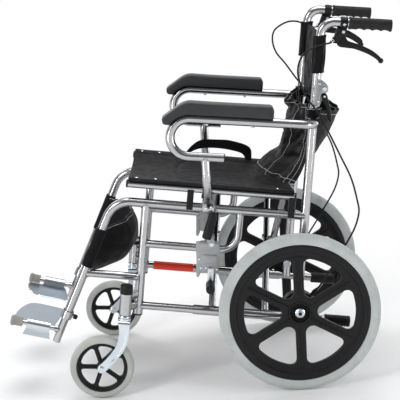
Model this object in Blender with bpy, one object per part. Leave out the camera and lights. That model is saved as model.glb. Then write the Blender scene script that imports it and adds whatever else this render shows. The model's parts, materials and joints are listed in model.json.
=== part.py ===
"""Folding transit wheelchair, modelled as its separate pieces.

Metres, +Z up. The chair faces -X and stands on Z = 0. Y = 0 is its centre plane,
and the user's left side is at -Y. While the pieces are made, X = 0 is the rear axle.
At the end the whole chair moves along X, so that its footprint is centred.

The rails of both side frames slope down to the rear. A point on a side frame is
given by s, its distance rearward along the rails, and h, its height square to them.
"""

import math

import bmesh
import bpy
from mathutils import Matrix, Vector

# Side frames
FRAME_SPACING = 0.380
RAIL_SLOPE = math.radians(8.05)
FRAME_TUBE_R = 0.0110
LIGHT_TUBE_R = 0.0095
BOTTOM_RAIL_H = 0.161
CROSS_TUBE_H = 0.2345
MID_RAIL_H = 0.322
UPPER_RAIL_H = 0.425
FRONT_UPRIGHT_S = -0.4266
FRONT_UPRIGHT_FOOT = 0.0214
J_TUBE_RISE_S = -0.193
J_TUBE_BEND = 0.041
TIPPING_REACH = 0.132
CAP_R = 0.0142
CAP_REACH = 0.062
CAP_CROWN = 0.0035
REAR_UPRIGHT_LEAN = math.radians(7.05)
HANGER_ANGLE = math.radians(64.3)
HANGER_CORNER_S = -0.5081
HANGER_BEND = 0.060
HANGER_LENGTH = 0.3265
TUBE_SIDES = 10
WELD_TWIST = 0.3
CLEARANCE = 0.0003
CUT_REACH = 0.010
SLIDING_GAP = 0.0004
RUNNING_GAP = 0.0006

# Wheels
WHEEL_STEPS = 36
CASTER_STEPS = 24
REAR_WHEEL_R = 0.200
REAR_TYRE_WIDTH = 0.027
REAR_TYRE_DEPTH = 0.0265
REAR_WHEEL_OUT = 0.073
REAR_WHEEL_Y = FRAME_SPACING / 2 + REAR_WHEEL_OUT
REAR_RIM_BAND = 0.0355
REAR_RIM_WIDTH = 0.023
REAR_HUB_R = 0.030
REAR_HUB_OUTER = 0.008
REAR_HUB_INNER = 0.020
REAR_SPOKES = 6
REAR_SPOKE_WIDTH = 0.026
REAR_SPOKE_THICKNESS = 0.013
REAR_AXLE_R = 0.006
AXLE_HEAD_R = 0.0105
AXLE_HEAD_LENGTH = 0.007
HUB_BRAKE_R = 0.045
HUB_BRAKE_BOSS_R = 0.012
HUB_BRAKE_BOSS_LENGTH = 0.010
HUB_BRAKE_STEPS = 18
CABLE_STOP_REACH = 0.022
CABLE_STOP_LENGTH = 0.028
CASTER_WHEEL_R = 0.0805
CASTER_TYRE_WIDTH = 0.026
CASTER_TYRE_DEPTH = 0.0165
CASTER_RIM_BAND = 0.009
CASTER_RIM_WIDTH = 0.020
CASTER_HUB_R = 0.0125
CASTER_SPOKES = 5
CASTER_SPOKE_WIDTH = 0.011
CASTER_SPOKE_THICKNESS = 0.008
CASTER_AXLE_R = 0.004
BOLT_HEAD_LENGTH = 0.0040
BOLT_TIP = 0.003

# Casters
CASTER_OUT = 0.053
CASTER_Y = FRAME_SPACING / 2 + CASTER_OUT
CASTER_AXIS_S = -0.4579
CASTER_TRAIL = 0.0465
HOUSING_R = 0.0150
HOUSING_LOW_H = 0.1504
HOUSING_HIGH_H = 0.2059
STEM_R = 0.0060
STEM_NUT_R = 0.0090
STEM_NUT_LENGTH = 0.007
HOUSING_CAP_LENGTH = 0.023
HOUSING_CAP_LIP = 0.001
HOUSING_CAP_WALL = 0.0055
HOUSING_CAP_ROOM = 0.013
HOUSING_BRACKET = 0.009
CROWN_GAP = 0.0129
CROWN_THICKNESS = 0.008
CROWN_WIDTH = 0.035
FORK_INSIDE = 0.033
FORK_PLATE = 0.004
FORK_EYE_R = 0.0115

# Folding brace
SEAT_RAIL_LIFT = 0.046
SEAT_RAIL_H = UPPER_RAIL_H + SEAT_RAIL_LIFT
SEAT_RAIL_FRONT_S = -0.477
SEAT_RAIL_REAR_S = -0.061
BRACE_SLEEVE_R = 0.0120
BRACE_SLEEVE_FRONT_S = -0.289
BRACE_SLEEVE_REAR_S = -0.045
BRACE_STRUT_R = 0.0085
BRACE_STRUT_FRONT_S = -0.242
BRACE_STRUT_REAR_S = -0.1076
BRACE_STRUT_GAP = 0.0015
PIVOT_BOLT_R = 0.003
PIVOT_HEAD_R = 0.006
PIVOT_HEAD_LENGTH = 0.003
SADDLE_FRONT_S = -0.3194
SADDLE_REAR_S = -0.0680
SADDLE_LENGTH = 0.016
SADDLE_WIDTH = 0.028
SADDLE_GRIP = 0.45

# Armrests
ARM_OUT = 0.065
ARM_Y = FRAME_SPACING / 2 + ARM_OUT
ARM_SLOPE = math.radians(6.5)
ARM_TOP_FRONT_Z = 0.6957
ARM_BEND = 0.046
ARM_BEND_X = -0.2408
ARM_CORNER_BEND = 0.034
ARM_OPEN_END = 0.086
ARM_POST_X = -0.2105
ARM_POST_BEND_Z = 0.540
ARM_FOOT_THICKNESS = 0.008
ARM_FOOT_WIDTH = 0.030
ARM_FOOT_BELOW = 0.014
ARM_FOOT_ABOVE = 0.026
ARM_POST_STEP = 0.022
ARM_FOOT_NECK = 0.012
ARM_TUBE_WALL = 0.0015
PAD_WIDTH = 0.045
PAD_THICKNESS = 0.0305
PAD_FRONT_REACH = 0.0707
PAD_REAR_GAP = 0.198
PAD_EDGE = 0.006
PAD_LIP = 0.0047
PAD_BROW_BACK = 0.0275
PAD_BROW_UP = 0.0315
PAD_CROWN = 0.0105
PAD_CROWN_BACK = 0.0065

# Back posts, hinges and handles
HINGE_Z = 0.741
HINGE_BEHIND = 0.0196
HINGE_BOLT_R = 0.004
HINGE_KNUCKLE_R = 0.0078
SPLIT_ABOVE_HINGE = 0.0010
SPLIT_GAP = 0.0006
CHEEK_THICKNESS = 0.003
HANDLE_CORNER_Z = 0.9016
HANDLE_BEND = 0.032
HANDLE_DROP = math.radians(6.65)
GRIP_START = 0.0655
GRIP_LENGTH = 0.1035
GRIP_R = 0.0155
GRIP_END_WALL = 0.004
LATCH_BELOW_HINGE = 0.0195
LATCH_HEAD_R = 0.0065
LATCH_LENGTH = 0.062
LATCH_WIDTH = 0.018

# Hand brakes
BRAKE_CLAMP_AT = 0.0535
BRAKE_CLAMP_LENGTH = 0.018
BRAKE_CLAMP_WALL = 0.0035
BRAKE_PIVOT_DROP = 0.0215
BRAKE_SLOT = 0.011
BRAKE_CHEEK = 0.0025
BRAKE_PIN_R = 0.003
FERRULE_R = 0.0040
FERRULE_LENGTH = 0.012
CABLE_R = 0.0024

# Parking brakes
PARK_S = -0.262
PARK_BLOCK_LENGTH = 0.048
PARK_BLOCK_WALL = 0.0065
PARK_PIN_R = 0.004
PARK_PLATE = 0.004
PARK_SHOE_R = 0.011
PARK_SHOE_LENGTH = 0.052
PARK_SHOE_RIBS = 4
PARK_SHOE_GROOVE = 0.0013
PARK_GRIP_R = 0.0105

# Footrests
FOOT_TUBE_R = 0.0094
FOOT_TUBE_IN = 0.100
FOOT_TUBE_OUT = 0.0686
FOOT_BORE_DEPTH = 0.122
FOOT_COLLAR_R = 0.0145
FOOT_COLLAR_LENGTH = 0.020
FOOT_COLLAR_LIP = 0.001
FOOT_KNOB_R = 0.006
FOOT_KNOB_REACH = 0.027
FOOT_ROD_R = 0.006
FOOT_ROD_AT = 0.0347
FOOT_ROD_RISE = math.radians(15.2)
FOOT_ROD_LENGTH = 0.128
FOOT_BOSS_LENGTH = 0.016
FOOT_PLUG_R = 0.0120
FOOT_PLUG_LENGTH = 0.030
FOOT_PLUG_RIB = 0.0015
FOOT_PLUG_RIB_LENGTH = 0.007
FOOT_SLEEVE_R = 0.0125
FOOT_SLEEVE_START = 0.028
FOOT_SLEEVE_LENGTH = 0.058
FOOT_PLATE_LENGTH = 0.126
FOOT_PLATE_WIDTH = 0.150
FOOT_PLATE_THICKNESS = 0.003
FOOT_PLATE_TILT = math.radians(5.0)
FOOT_PLATE_DROP = 0.0085
FOOT_BEND_WIDTH = 0.0140
FOOT_BEND_DEPTH = 0.0006
FOOT_SKIRT_DROP = 0.026
FOOT_SKIRT_FLARE = 0.006

# Cloth
CLOTH = 0.004
SEAT_CLOTH = 0.005
SEAT_OVERHANG = 0.014
SEAT_SAG = 0.012
SEAT_WRINKLE = 0.0015
CENTRE_GAP = 0.0004
SLEEVE_R = 0.0165
LOOP_CLOTH = 0.0032
PANEL_LOOP_LOW_Z = 0.6765
PANEL_LOOP_HIGH_Z = 0.6955
SLING_LOW_Z = 0.779
SLING_HIGH_Z = 0.869
SLING_BOW = 0.016
STRAP_LENGTH = 0.1775
STRAP_RISE = 0.030
STRAP_WIDTH = 0.018
STRAP_THICKNESS = 0.003

Y_AXIS = Vector((0.0, 1.0, 0.0))
Z_AXIS = Vector((0.0, 0.0, 1.0))
FRAME_Y = -FRAME_SPACING / 2


def rail_point(s, h, y=FRAME_Y):
    """The point at s along the rails and h square to them."""
    level = math.cos(RAIL_SLOPE)
    fall = math.sin(RAIL_SLOPE)
    return Vector((s * level + h * fall, y, h * level - s * fall))


RAIL_AXIS = rail_point(1, 0, 0)
RAIL_NORMAL = rail_point(0, 1, 0)
AXLE = Vector((0.0, FRAME_Y, REAR_WHEEL_R))
UPRIGHT_AXIS = Vector((math.sin(REAR_UPRIGHT_LEAN), 0.0, math.cos(REAR_UPRIGHT_LEAN)))
HANGER_AXIS = Vector((-math.cos(HANGER_ANGLE), 0.0, -math.sin(HANGER_ANGLE)))
HANGER_NORMAL = Vector((math.sin(HANGER_ANGLE), 0.0, -math.cos(HANGER_ANGLE)))
HANGER_CORNER = rail_point(HANGER_CORNER_S, UPPER_RAIL_H)
HANGER_END = HANGER_CORNER + HANGER_AXIS * HANGER_LENGTH
ARM_AXIS = Vector((math.cos(ARM_SLOPE), 0.0, -math.sin(ARM_SLOPE)))
ARM_NORMAL = Vector((math.sin(ARM_SLOPE), 0.0, math.cos(ARM_SLOPE)))
HANDLE_AXIS = Vector((math.cos(HANDLE_DROP), 0.0, -math.sin(HANDLE_DROP)))
HANDLE_NORMAL = Vector((math.sin(HANDLE_DROP), 0.0, math.cos(HANDLE_DROP)))
ROD_AXIS = Vector((-math.cos(FOOT_ROD_RISE), 0.0, math.sin(FOOT_ROD_RISE)))


def upright_point(z, y=FRAME_Y):
    """The point at height z on the leaning line through the rear axle."""
    return Vector(((z - REAR_WHEEL_R) * math.tan(REAR_UPRIGHT_LEAN), y, z))


def upright_at_rail(h):
    """Where the leaning rear upright crosses the rail at height h."""
    normal_rise = RAIL_NORMAL.dot(UPRIGHT_AXIS)
    along = (h - RAIL_NORMAL.dot(Vector((0.0, 0.0, REAR_WHEEL_R)))) / normal_rise
    return AXLE + UPRIGHT_AXIS * along


def hanger_at_rail(h):
    """Where the hanger crosses the line at height h square to the rails."""
    along = (h - UPPER_RAIL_H) / RAIL_NORMAL.dot(HANGER_AXIS)
    return HANGER_CORNER + HANGER_AXIS * along


# Making solids

def as_object(shape):
    """A new object from a bmesh, its faces turned outward."""
    bmesh.ops.recalc_face_normals(shape, faces=shape.faces)
    mesh = bpy.data.meshes.new("piece")
    shape.to_mesh(mesh)
    shape.free()
    piece = bpy.data.objects.new("piece", mesh)
    bpy.context.collection.objects.link(piece)
    return piece


def square_to(axis, hint):
    """Two unit directions square to an axis, the first one nearest to the hint."""
    first = (hint - axis * hint.dot(axis)).normalized()
    return first, axis.cross(first)


def skin(shape, rings, closed=False):
    """Join rings of corners by faces, with caps at the ends of an open run."""
    pairs = list(zip(rings, rings[1:]))
    if closed:
        pairs.append((rings[-1], rings[0]))
    for low, high in pairs:
        count = max(len(low), len(high))
        for k in range(count):
            following = (k + 1) % count
            corners = [low[k % len(low)], low[following % len(low)]]
            corners += [high[following % len(high)], high[k % len(high)]]
            shape.faces.new(list(dict.fromkeys(corners)))
    if not closed:
        for ring in (rings[0], rings[-1]):
            if len(ring) > 2:
                shape.faces.new(ring)


def bar(path, radius, sides=TUBE_SIDES, flat=None, hint=Y_AXIS, twist=0.0):
    """A solid bar along a path. Radius and flat may be lists, one value a point."""
    points = [Vector(point) for point in path]
    count = len(points)
    wide = radius if isinstance(radius, list) else [radius] * count
    thin = flat or wide
    shape = bmesh.new()
    rings = []
    for k, centre in enumerate(points):
        ahead = points[min(k + 1, count - 1)]
        behind = points[max(k - 1, 0)]
        axis = (ahead - centre).normalized() + (centre - behind).normalized()
        first, second = square_to(axis.normalized(), hint)
        hint = first
        ring = []
        for step in range(sides):
            angle = 2 * math.pi * (step + twist) / sides
            offset = first * thin[k] * math.cos(angle) + second * wide[k] * math.sin(angle)
            ring.append(shape.verts.new(centre + offset))
        rings.append(ring)
    skin(shape, rings)
    return as_object(shape)


def turned(profile, origin, axis, steps, hint=Z_AXIS):
    """Turn a closed outline of (radius, distance along the axis) about the axis."""
    axis = axis.normalized()
    first, second = square_to(axis, hint)
    shape = bmesh.new()
    rings = []
    for radius, along in profile:
        centre = origin + axis * along
        if radius == 0:
            rings.append([shape.verts.new(centre)])
            continue
        ring = []
        for step in range(steps):
            angle = 2 * math.pi * step / steps
            reach = first * math.cos(angle) + second * math.sin(angle)
            ring.append(shape.verts.new(centre + reach * radius))
        rings.append(ring)
    skin(shape, rings, closed=profile[0][0] > 0)
    return as_object(shape)


def rod(start, end, radius, sides=TUBE_SIDES, hint=Y_AXIS, twist=0.0):
    """A straight round bar between two points."""
    return bar([start, end], radius, sides, hint=hint, twist=twist)


def round_hole(radius):
    """A hole's corner radius whose flats clear a round bar, however the bar is turned."""
    return (radius + CLEARANCE) / math.cos(math.pi / TUBE_SIDES)


def plate(outline, near_y, far_y):
    """An outline of (x, z) corners, extruded along Y."""
    shape = bmesh.new()
    near = [shape.verts.new((x, near_y, z)) for x, z in outline]
    far = [shape.verts.new((x, far_y, z)) for x, z in outline]
    skin(shape, [near, far])
    return as_object(shape)


def block(centre, size, axes):
    """A box about a centre, with its sizes along three square axes."""
    shape = bmesh.new()
    halves = [axis * length / 2 for axis, length in zip(axes, size)]
    rings = []
    for end in (-1, 1):
        ring = []
        for across, up in ((-1, -1), (1, -1), (1, 1), (-1, 1)):
            corner = centre + halves[0] * end + halves[1] * across + halves[2] * up
            ring.append(shape.verts.new(corner))
        rings.append(ring)
    skin(shape, rings)
    return as_object(shape)


def cloth(middle, columns, rows, thickness):
    """A closed sheet about a surface: middle(u, v) gives its points, u and v 0 to 1."""
    points = {}
    for i in range(columns + 1):
        for j in range(rows + 1):
            points[i, j] = Vector(middle(i / columns, j / rows))
    shape = bmesh.new()
    sides = []
    for sign in (-0.5, 0.5):
        side = {}
        for i, j in points:
            across = points[min(i + 1, columns), j] - points[max(i - 1, 0), j]
            down = points[i, min(j + 1, rows)] - points[i, max(j - 1, 0)]
            offset = across.cross(down).normalized() * thickness * sign
            side[i, j] = shape.verts.new(points[i, j] + offset)
        sides.append(side)
    for side in sides:
        for i in range(columns):
            for j in range(rows):
                corners = (i, j), (i + 1, j), (i + 1, j + 1), (i, j + 1)
                shape.faces.new([side[corner] for corner in corners])
    edge = [(i, 0) for i in range(columns)] + [(columns, j) for j in range(rows)]
    edge += [(i, rows) for i in range(columns, 0, -1)] + [(0, j) for j in range(rows, 0, -1)]
    for here, there in zip(edge, edge[1:] + edge[:1]):
        corners = [sides[0][here], sides[0][there], sides[1][there], sides[1][here]]
        shape.faces.new(corners)
    return as_object(shape)


def applied(piece):
    """The piece with its modifiers worked into its mesh."""
    graph = bpy.context.evaluated_depsgraph_get()
    mesh = bpy.data.meshes.new_from_object(piece.evaluated_get(graph))
    piece.modifiers.clear()
    piece.data = mesh
    return piece


def combined(base, other, operation):
    """Apply one exact boolean to the base and remove the other solid."""
    modifier = base.modifiers.new(operation.lower(), "BOOLEAN")
    modifier.operation = operation
    modifier.solver = "EXACT"
    modifier.object = other
    applied(base)
    bpy.data.objects.remove(other)
    return base


def joined(first, *others):
    """The union of solids."""
    for other in others:
        first = combined(first, other, "UNION")
    return first


def cut(base, *cutters):
    """The base less the cutters."""
    for cutter in cutters:
        base = combined(base, cutter, "DIFFERENCE")
    return base


def fillet(corners, radii, step=math.radians(20)):
    """Round a path's inner corners with arcs."""
    points = [Vector(corner) for corner in corners]
    path = [points[0]]
    for before, corner, after, radius in zip(points, points[1:], points[2:], radii):
        back = (before - corner).normalized()
        on = (after - corner).normalized()
        turn = math.pi - back.angle(on)
        tangent = radius * math.tan(turn / 2)
        centre = corner + (back + on).normalized() * radius / math.cos(turn / 2)
        start = corner + back * tangent - centre
        normal = back.cross(on).normalized()
        count = max(2, round(turn / step))
        for k in range(count + 1):
            spin = Matrix.Rotation(-turn * k / count, 3, normal)
            path.append(centre + spin @ start)
    path.append(points[-1])
    return path


def smooth_path(knots, per_span):
    """Points of a smooth curve through the knots."""
    knots = [Vector(knot) for knot in knots]
    padded = [knots[0] * 2 - knots[1], *knots, knots[-1] * 2 - knots[-2]]
    path = []
    for a, b, c, d in zip(padded, padded[1:], padded[2:], padded[3:]):
        for k in range(per_span):
            t = k / per_span
            path.append(0.5 * (b * 2 + (c - a) * t + (a * 2 - b * 5 + c * 4 - d) * t**2
                               + (b * 3 - a - c * 3 + d) * t**3))
    path.append(knots[-1])
    return path


def arc(centre, radius, start, end, count):
    """Points (x, z) of an arc, its angles in degrees from +X toward +Z."""
    points = []
    for k in range(count + 1):
        angle = math.radians(start + (end - start) * k / count)
        points.append((centre[0] + radius * math.cos(angle), centre[1] + radius * math.sin(angle)))
    return points


# Materials and placing

def paint(name, colour, roughness, metallic):
    material = bpy.data.materials.new(name)
    material.use_nodes = True
    shader = material.node_tree.nodes["Principled BSDF"]
    shader.inputs["Base Color"].default_value = (*colour, 1.0)
    shader.inputs["Roughness"].default_value = roughness
    shader.inputs["Metallic"].default_value = metallic
    material.diffuse_color = (*colour, 1.0)
    return material


def place(piece, name, material, pivot):
    """Name a finished piece, with its origin at its pivot."""
    piece.name = name
    piece.data.name = name
    piece.data.materials.clear()
    piece.data.materials.append(material)
    piece.data.transform(Matrix.Translation(-pivot))
    piece.location = pivot
    piece.data.shade_smooth()
    piece.data.set_sharp_from_angle(angle=math.radians(35))
    return piece


def place_pair(piece, name, material, pivot):
    """Place a left piece, and its mirror image on the right."""
    twin = bpy.data.objects.new("piece", piece.data.copy())
    bpy.context.collection.objects.link(twin)
    twin.data.transform(Matrix.Diagonal((1.0, -1.0, 1.0, 1.0)))
    twin.data.flip_normals()
    place(piece, name + "_left", material, pivot)
    place(twin, name + "_right", material, Vector((pivot.x, -pivot.y, pivot.z)))


# Side frame

def side_frame():
    """One welded side: rails, uprights, hanger, cross tube and caster housing."""
    top_rear = upright_at_rail(UPPER_RAIL_H)
    upper = bar(fillet([top_rear, HANGER_CORNER, HANGER_END], [HANGER_BEND]), FRAME_TUBE_R)
    foot_h = BOTTOM_RAIL_H - FRONT_UPRIGHT_FOOT
    front = rod(rail_point(FRONT_UPRIGHT_S, foot_h), rail_point(FRONT_UPRIGHT_S, UPPER_RAIL_H),
                FRAME_TUBE_R, twist=WELD_TWIST)
    j_path = [rail_point(FRONT_UPRIGHT_S, MID_RAIL_H), rail_point(J_TUBE_RISE_S, MID_RAIL_H),
              rail_point(J_TUBE_RISE_S, UPPER_RAIL_H)]
    j_tube = bar(fillet(j_path, [J_TUBE_BEND]), LIGHT_TUBE_R, twist=-WELD_TWIST)
    rear_foot = upright_at_rail(BOTTOM_RAIL_H)
    bottom = rod(rail_point(FRONT_UPRIGHT_S, BOTTOM_RAIL_H), rear_foot + RAIL_AXIS * TIPPING_REACH,
                 LIGHT_TUBE_R)
    rear = rod(rear_foot, upright_point(HINGE_Z + SPLIT_ABOVE_HINGE - SPLIT_GAP), FRAME_TUBE_R,
               twist=WELD_TWIST)
    cross = rod(hanger_at_rail(CROSS_TUBE_H), rail_point(FRONT_UPRIGHT_S, CROSS_TUBE_H),
                LIGHT_TUBE_R, twist=-WELD_TWIST)
    housing_low = rail_point(CASTER_AXIS_S, HOUSING_LOW_H, -CASTER_Y)
    housing_high = rail_point(CASTER_AXIS_S, HOUSING_HIGH_H, -CASTER_Y)
    housing = rod(housing_low, housing_high, HOUSING_R, 16)
    cap_low = housing_high - RAIL_NORMAL * HOUSING_CAP_LIP
    cap = rod(cap_low, housing_high + RAIL_NORMAL * HOUSING_CAP_LENGTH,
              HOUSING_R + HOUSING_CAP_LIP, 16)
    bracket_y = (FRAME_Y - CASTER_Y) / 2
    bracket_s = (FRONT_UPRIGHT_S + CASTER_AXIS_S) / 2
    bracket_h = (HOUSING_LOW_H + HOUSING_HIGH_H) / 2
    reach = Vector((0.0, FRAME_Y + CASTER_Y, 0.0)) + RAIL_AXIS * (FRONT_UPRIGHT_S - CASTER_AXIS_S)
    across = reach.normalized()
    bracket = block(rail_point(bracket_s, bracket_h, bracket_y),
                    (reach.length, HOUSING_BRACKET, (HOUSING_HIGH_H - HOUSING_LOW_H) * 0.86),
                    (across, across.cross(RAIL_NORMAL), RAIL_NORMAL))
    collar_low = HANGER_END - HANGER_AXIS * FOOT_COLLAR_LENGTH
    collar = rod(collar_low, HANGER_END + HANGER_AXIS * FOOT_COLLAR_LIP, FOOT_COLLAR_R)
    collar_middle = (collar_low + HANGER_END) / 2
    screw = rod(collar_middle + HANGER_NORMAL * FRAME_TUBE_R,
                collar_middle + HANGER_NORMAL * FOOT_KNOB_REACH, FOOT_KNOB_R)
    frame = joined(upper, front, j_tube, bottom, rear, cross, housing, cap, bracket, collar, screw)
    over = RAIL_NORMAL * CUT_REACH
    stem_bore = rod(housing_low - over, housing_high + over * 0.1, STEM_R + RUNNING_GAP, 16)
    nut_room = rod(housing_high, housing_high + RAIL_NORMAL * HOUSING_CAP_ROOM,
                   HOUSING_R - HOUSING_CAP_WALL, 16)
    tube_bore = rod(HANGER_END - HANGER_AXIS * FOOT_BORE_DEPTH, HANGER_END + HANGER_AXIS * CUT_REACH,
                    FOOT_TUBE_R + SLIDING_GAP)
    side = Y_AXIS * CUT_REACH * 2
    axle_hole = rod(AXLE - side, AXLE + side, REAR_AXLE_R + CLEARANCE, hint=Z_AXIS)
    return cut(frame, stem_bore, nut_room, tube_bore, axle_hole)


def tipping_cap():
    """The tread cap pushed over the end of the tipping lever."""
    rail_end = upright_at_rail(BOTTOM_RAIL_H) + RAIL_AXIS * TIPPING_REACH
    inner = LIGHT_TUBE_R + CLEARANCE
    profile = [(inner, -CAP_REACH), (CAP_R * 0.92, -CAP_REACH), (CAP_R, -CAP_REACH * 0.65),
               (CAP_R, 0.001), (CAP_R * 0.85, CAP_CROWN), (0.0, CAP_CROWN), (0.0, CLEARANCE),
               (inner, CLEARANCE)]
    return open_cup(profile, rail_end, RAIL_AXIS, 16)


def open_cup(profile, origin, axis, steps):
    """A turned cup: the profile touches the axis twice, at its closed end."""
    poles = [k for k, (radius, along) in enumerate(profile) if radius == 0]
    turned_order = profile[poles[1]:] + profile[:poles[0] + 1]
    return turned(turned_order, origin, axis, steps, hint=Y_AXIS)


def seat_saddle(s):
    """A plastic cradle on the upper rail that carries the seat rail."""
    low = UPPER_RAIL_H - FRAME_TUBE_R * SADDLE_GRIP
    centre = rail_point(s, (low + SEAT_RAIL_H) / 2)
    saddle = block(centre, (SADDLE_LENGTH, SADDLE_WIDTH, SEAT_RAIL_H - low),
                   (RAIL_AXIS, Y_AXIS, RAIL_NORMAL))
    reach = RAIL_AXIS * SADDLE_LENGTH
    on_rail = rail_point(s, UPPER_RAIL_H)
    at_seat = rail_point(s, SEAT_RAIL_H)
    lower_bore = rod(on_rail - reach, on_rail + reach, FRAME_TUBE_R + CLEARANCE)
    upper_bore = rod(at_seat - reach, at_seat + reach, LIGHT_TUBE_R + RUNNING_GAP)
    return cut(saddle, lower_bore, upper_bore)


# Armrest

ARM_BEND_TOP = Vector((ARM_BEND_X, -ARM_Y, ARM_TOP_FRONT_Z))
ARM_BEND_CENTRE = ARM_BEND_TOP - ARM_NORMAL * ARM_BEND


def arm_meets_upright():
    """Where the arm's line crosses the rear upright, seen from the side."""
    start = ARM_BEND_TOP - AXLE
    along = -ARM_NORMAL.dot(start) / ARM_NORMAL.dot(UPRIGHT_AXIS)
    return AXLE - UPRIGHT_AXIS * along


def armrest_frame():
    """The arm tube with its front bend, and the post down to the upper rail."""
    corner = arm_meets_upright()
    end_y = FRAME_Y - FRAME_TUBE_R - CLEARANCE
    corner_out = Vector((corner.x, -ARM_Y, corner.z))
    low_start = ARM_BEND_CENTRE - ARM_NORMAL * ARM_BEND
    bend = []
    steps = 12
    for k in range(steps + 1):
        spin = Matrix.Rotation(-math.pi * k / steps, 3, Y_AXIS)
        bend.append(ARM_BEND_CENTRE + spin @ (ARM_NORMAL * ARM_BEND))
    rear = fillet([ARM_BEND_TOP, corner_out, Vector((corner.x, end_y, corner.z))],
                  [ARM_CORNER_BEND])
    path = list(reversed(rear))[:-1] + bend + [low_start + ARM_AXIS * ARM_OPEN_END]
    tube = bar(path, FRAME_TUBE_R, hint=Z_AXIS)
    post_top = low_start + ARM_AXIS * ((ARM_POST_X - low_start.x) / ARM_AXIS.x)
    rail = rail_point(0, UPPER_RAIL_H)
    rail_s = (ARM_POST_X - rail.x) / RAIL_AXIS.x
    rail_z = rail_point(rail_s, UPPER_RAIL_H).z
    foot_y = FRAME_Y - FRAME_TUBE_R - CLEARANCE - ARM_FOOT_THICKNESS / 2
    centres = [post_top, (ARM_POST_X, -ARM_Y, ARM_POST_BEND_Z),
               (ARM_POST_X, (-ARM_Y * 2 + foot_y) / 3, ARM_POST_BEND_Z - ARM_POST_STEP),
               (ARM_POST_X, foot_y - ARM_FOOT_NECK / 2, rail_z + ARM_FOOT_ABOVE + ARM_FOOT_NECK),
               (ARM_POST_X, foot_y, rail_z + ARM_FOOT_ABOVE),
               (ARM_POST_X, foot_y, rail_z - ARM_FOOT_BELOW)]
    flat_half = ARM_FOOT_THICKNESS / 2
    wide_half = ARM_FOOT_WIDTH / 2
    wide = [FRAME_TUBE_R, FRAME_TUBE_R, FRAME_TUBE_R, wide_half * 0.85, wide_half, wide_half]
    thin = [FRAME_TUBE_R, FRAME_TUBE_R, FRAME_TUBE_R * 0.9, flat_half * 1.3, flat_half, flat_half]
    post = bar(centres, wide, flat=thin)
    arm = joined(tube, post)
    open_end = low_start + ARM_AXIS * ARM_OPEN_END
    mouth = rod(open_end - ARM_AXIS * CUT_REACH * 3, open_end + ARM_AXIS * CUT_REACH,
                FRAME_TUBE_R - ARM_TUBE_WALL, hint=Z_AXIS)
    return cut(arm, mouth)


def armrest_pad():
    """The moulded pad, resting on the arm tube and curving down over its bend."""
    under = FRAME_TUBE_R + CLEARANCE
    centre = ARM_BEND_CENTRE
    outer = ARM_BEND + under
    rear_low = ARM_BEND_TOP + ARM_AXIS * PAD_REAR_GAP + ARM_NORMAL * under
    nose = arc((centre.x, centre.z), outer, 90 - math.degrees(ARM_SLOPE), 142, 5)
    tip = centre + ARM_NORMAL * (ARM_BEND + PAD_LIP) - ARM_AXIS * PAD_FRONT_REACH
    top_height = ARM_NORMAL * PAD_THICKNESS
    front_top = centre + ARM_NORMAL * ARM_BEND + top_height + ARM_NORMAL * PAD_CROWN
    outline = [(rear_low.x, rear_low.z)] + nose + [(tip.x, tip.z)]
    brow = tip + ARM_AXIS * PAD_BROW_BACK + ARM_NORMAL * PAD_BROW_UP
    outline.append((brow.x, brow.z))
    front = front_top + ARM_AXIS * PAD_CROWN_BACK
    outline.append((front.x, front.z))
    back = rear_low + top_height - ARM_AXIS * PAD_EDGE
    outline.append((back.x, back.z))
    shoulder = rear_low + top_height * 0.7
    outline.append((shoulder.x, shoulder.z))
    half = PAD_WIDTH / 2
    pad = plate(outline, -ARM_Y - half, -ARM_Y + half)
    bevel = pad.modifiers.new("soft edge", "BEVEL")
    bevel.width = PAD_EDGE
    bevel.segments = 2
    bevel.limit_method = "ANGLE"
    bevel.angle_limit = math.radians(60)
    return applied(pad)


# Wheels

def ring_profile(outer, inner, width, crown):
    """The outline of a ring with a crowned tread and rounded shoulders."""
    half = width / 2
    return [(inner, -half * 0.86), (outer - crown * 1.6, -half), (outer - crown * 0.5, -half * 0.8),
            (outer, -half * 0.35), (outer, half * 0.35), (outer - crown * 0.5, half * 0.8),
            (outer - crown * 1.6, half), (inner, half * 0.86)]


def wheel_tyre(radius, depth, width, centre, steps):
    return turned(ring_profile(radius, radius - depth, width, depth * 0.3), centre, Y_AXIS, steps)


def wheel_rim(centre, outer, band, width, hub, spoke, bore, steps):
    """A spoked rim: hub is (radius, outer length, inner length), spoke (count, width, thickness)."""
    half = width / 2
    hub_r, hub_out, hub_in = hub
    count, spoke_width, spoke_thickness = spoke
    band_profile = [(outer - band, -half * 0.8), (outer, -half), (outer, half),
                    (outer - band, half * 0.8)]
    rim = turned(band_profile, centre, Y_AXIS, steps)
    parts = []
    for k in range(count // 2 if count % 2 == 0 else count):
        angle = math.radians(90) + 2 * math.pi * k / count
        along = Vector((math.cos(angle), 0.0, math.sin(angle)))
        across = Y_AXIS.cross(along)
        reach = outer - band * 0.6
        near = -reach if count % 2 == 0 else 0.0
        middle = centre + along * (reach + near) / 2
        parts.append(block(middle, (reach - near, spoke_width, spoke_thickness),
                           (along, across, Y_AXIS)))
    core = turned([(0.0, -hub_out), (hub_r, -hub_out), (hub_r, hub_in), (0.0, hub_in)],
                  centre, Y_AXIS, 16)
    rim = joined(rim, joined(core, *parts))
    over = Y_AXIS * (hub_out + hub_in)
    return cut(rim, rod(centre - over, centre + over, bore, hint=Z_AXIS))


REAR_HUB = Vector((0.0, -REAR_WHEEL_Y, REAR_WHEEL_R))


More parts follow.
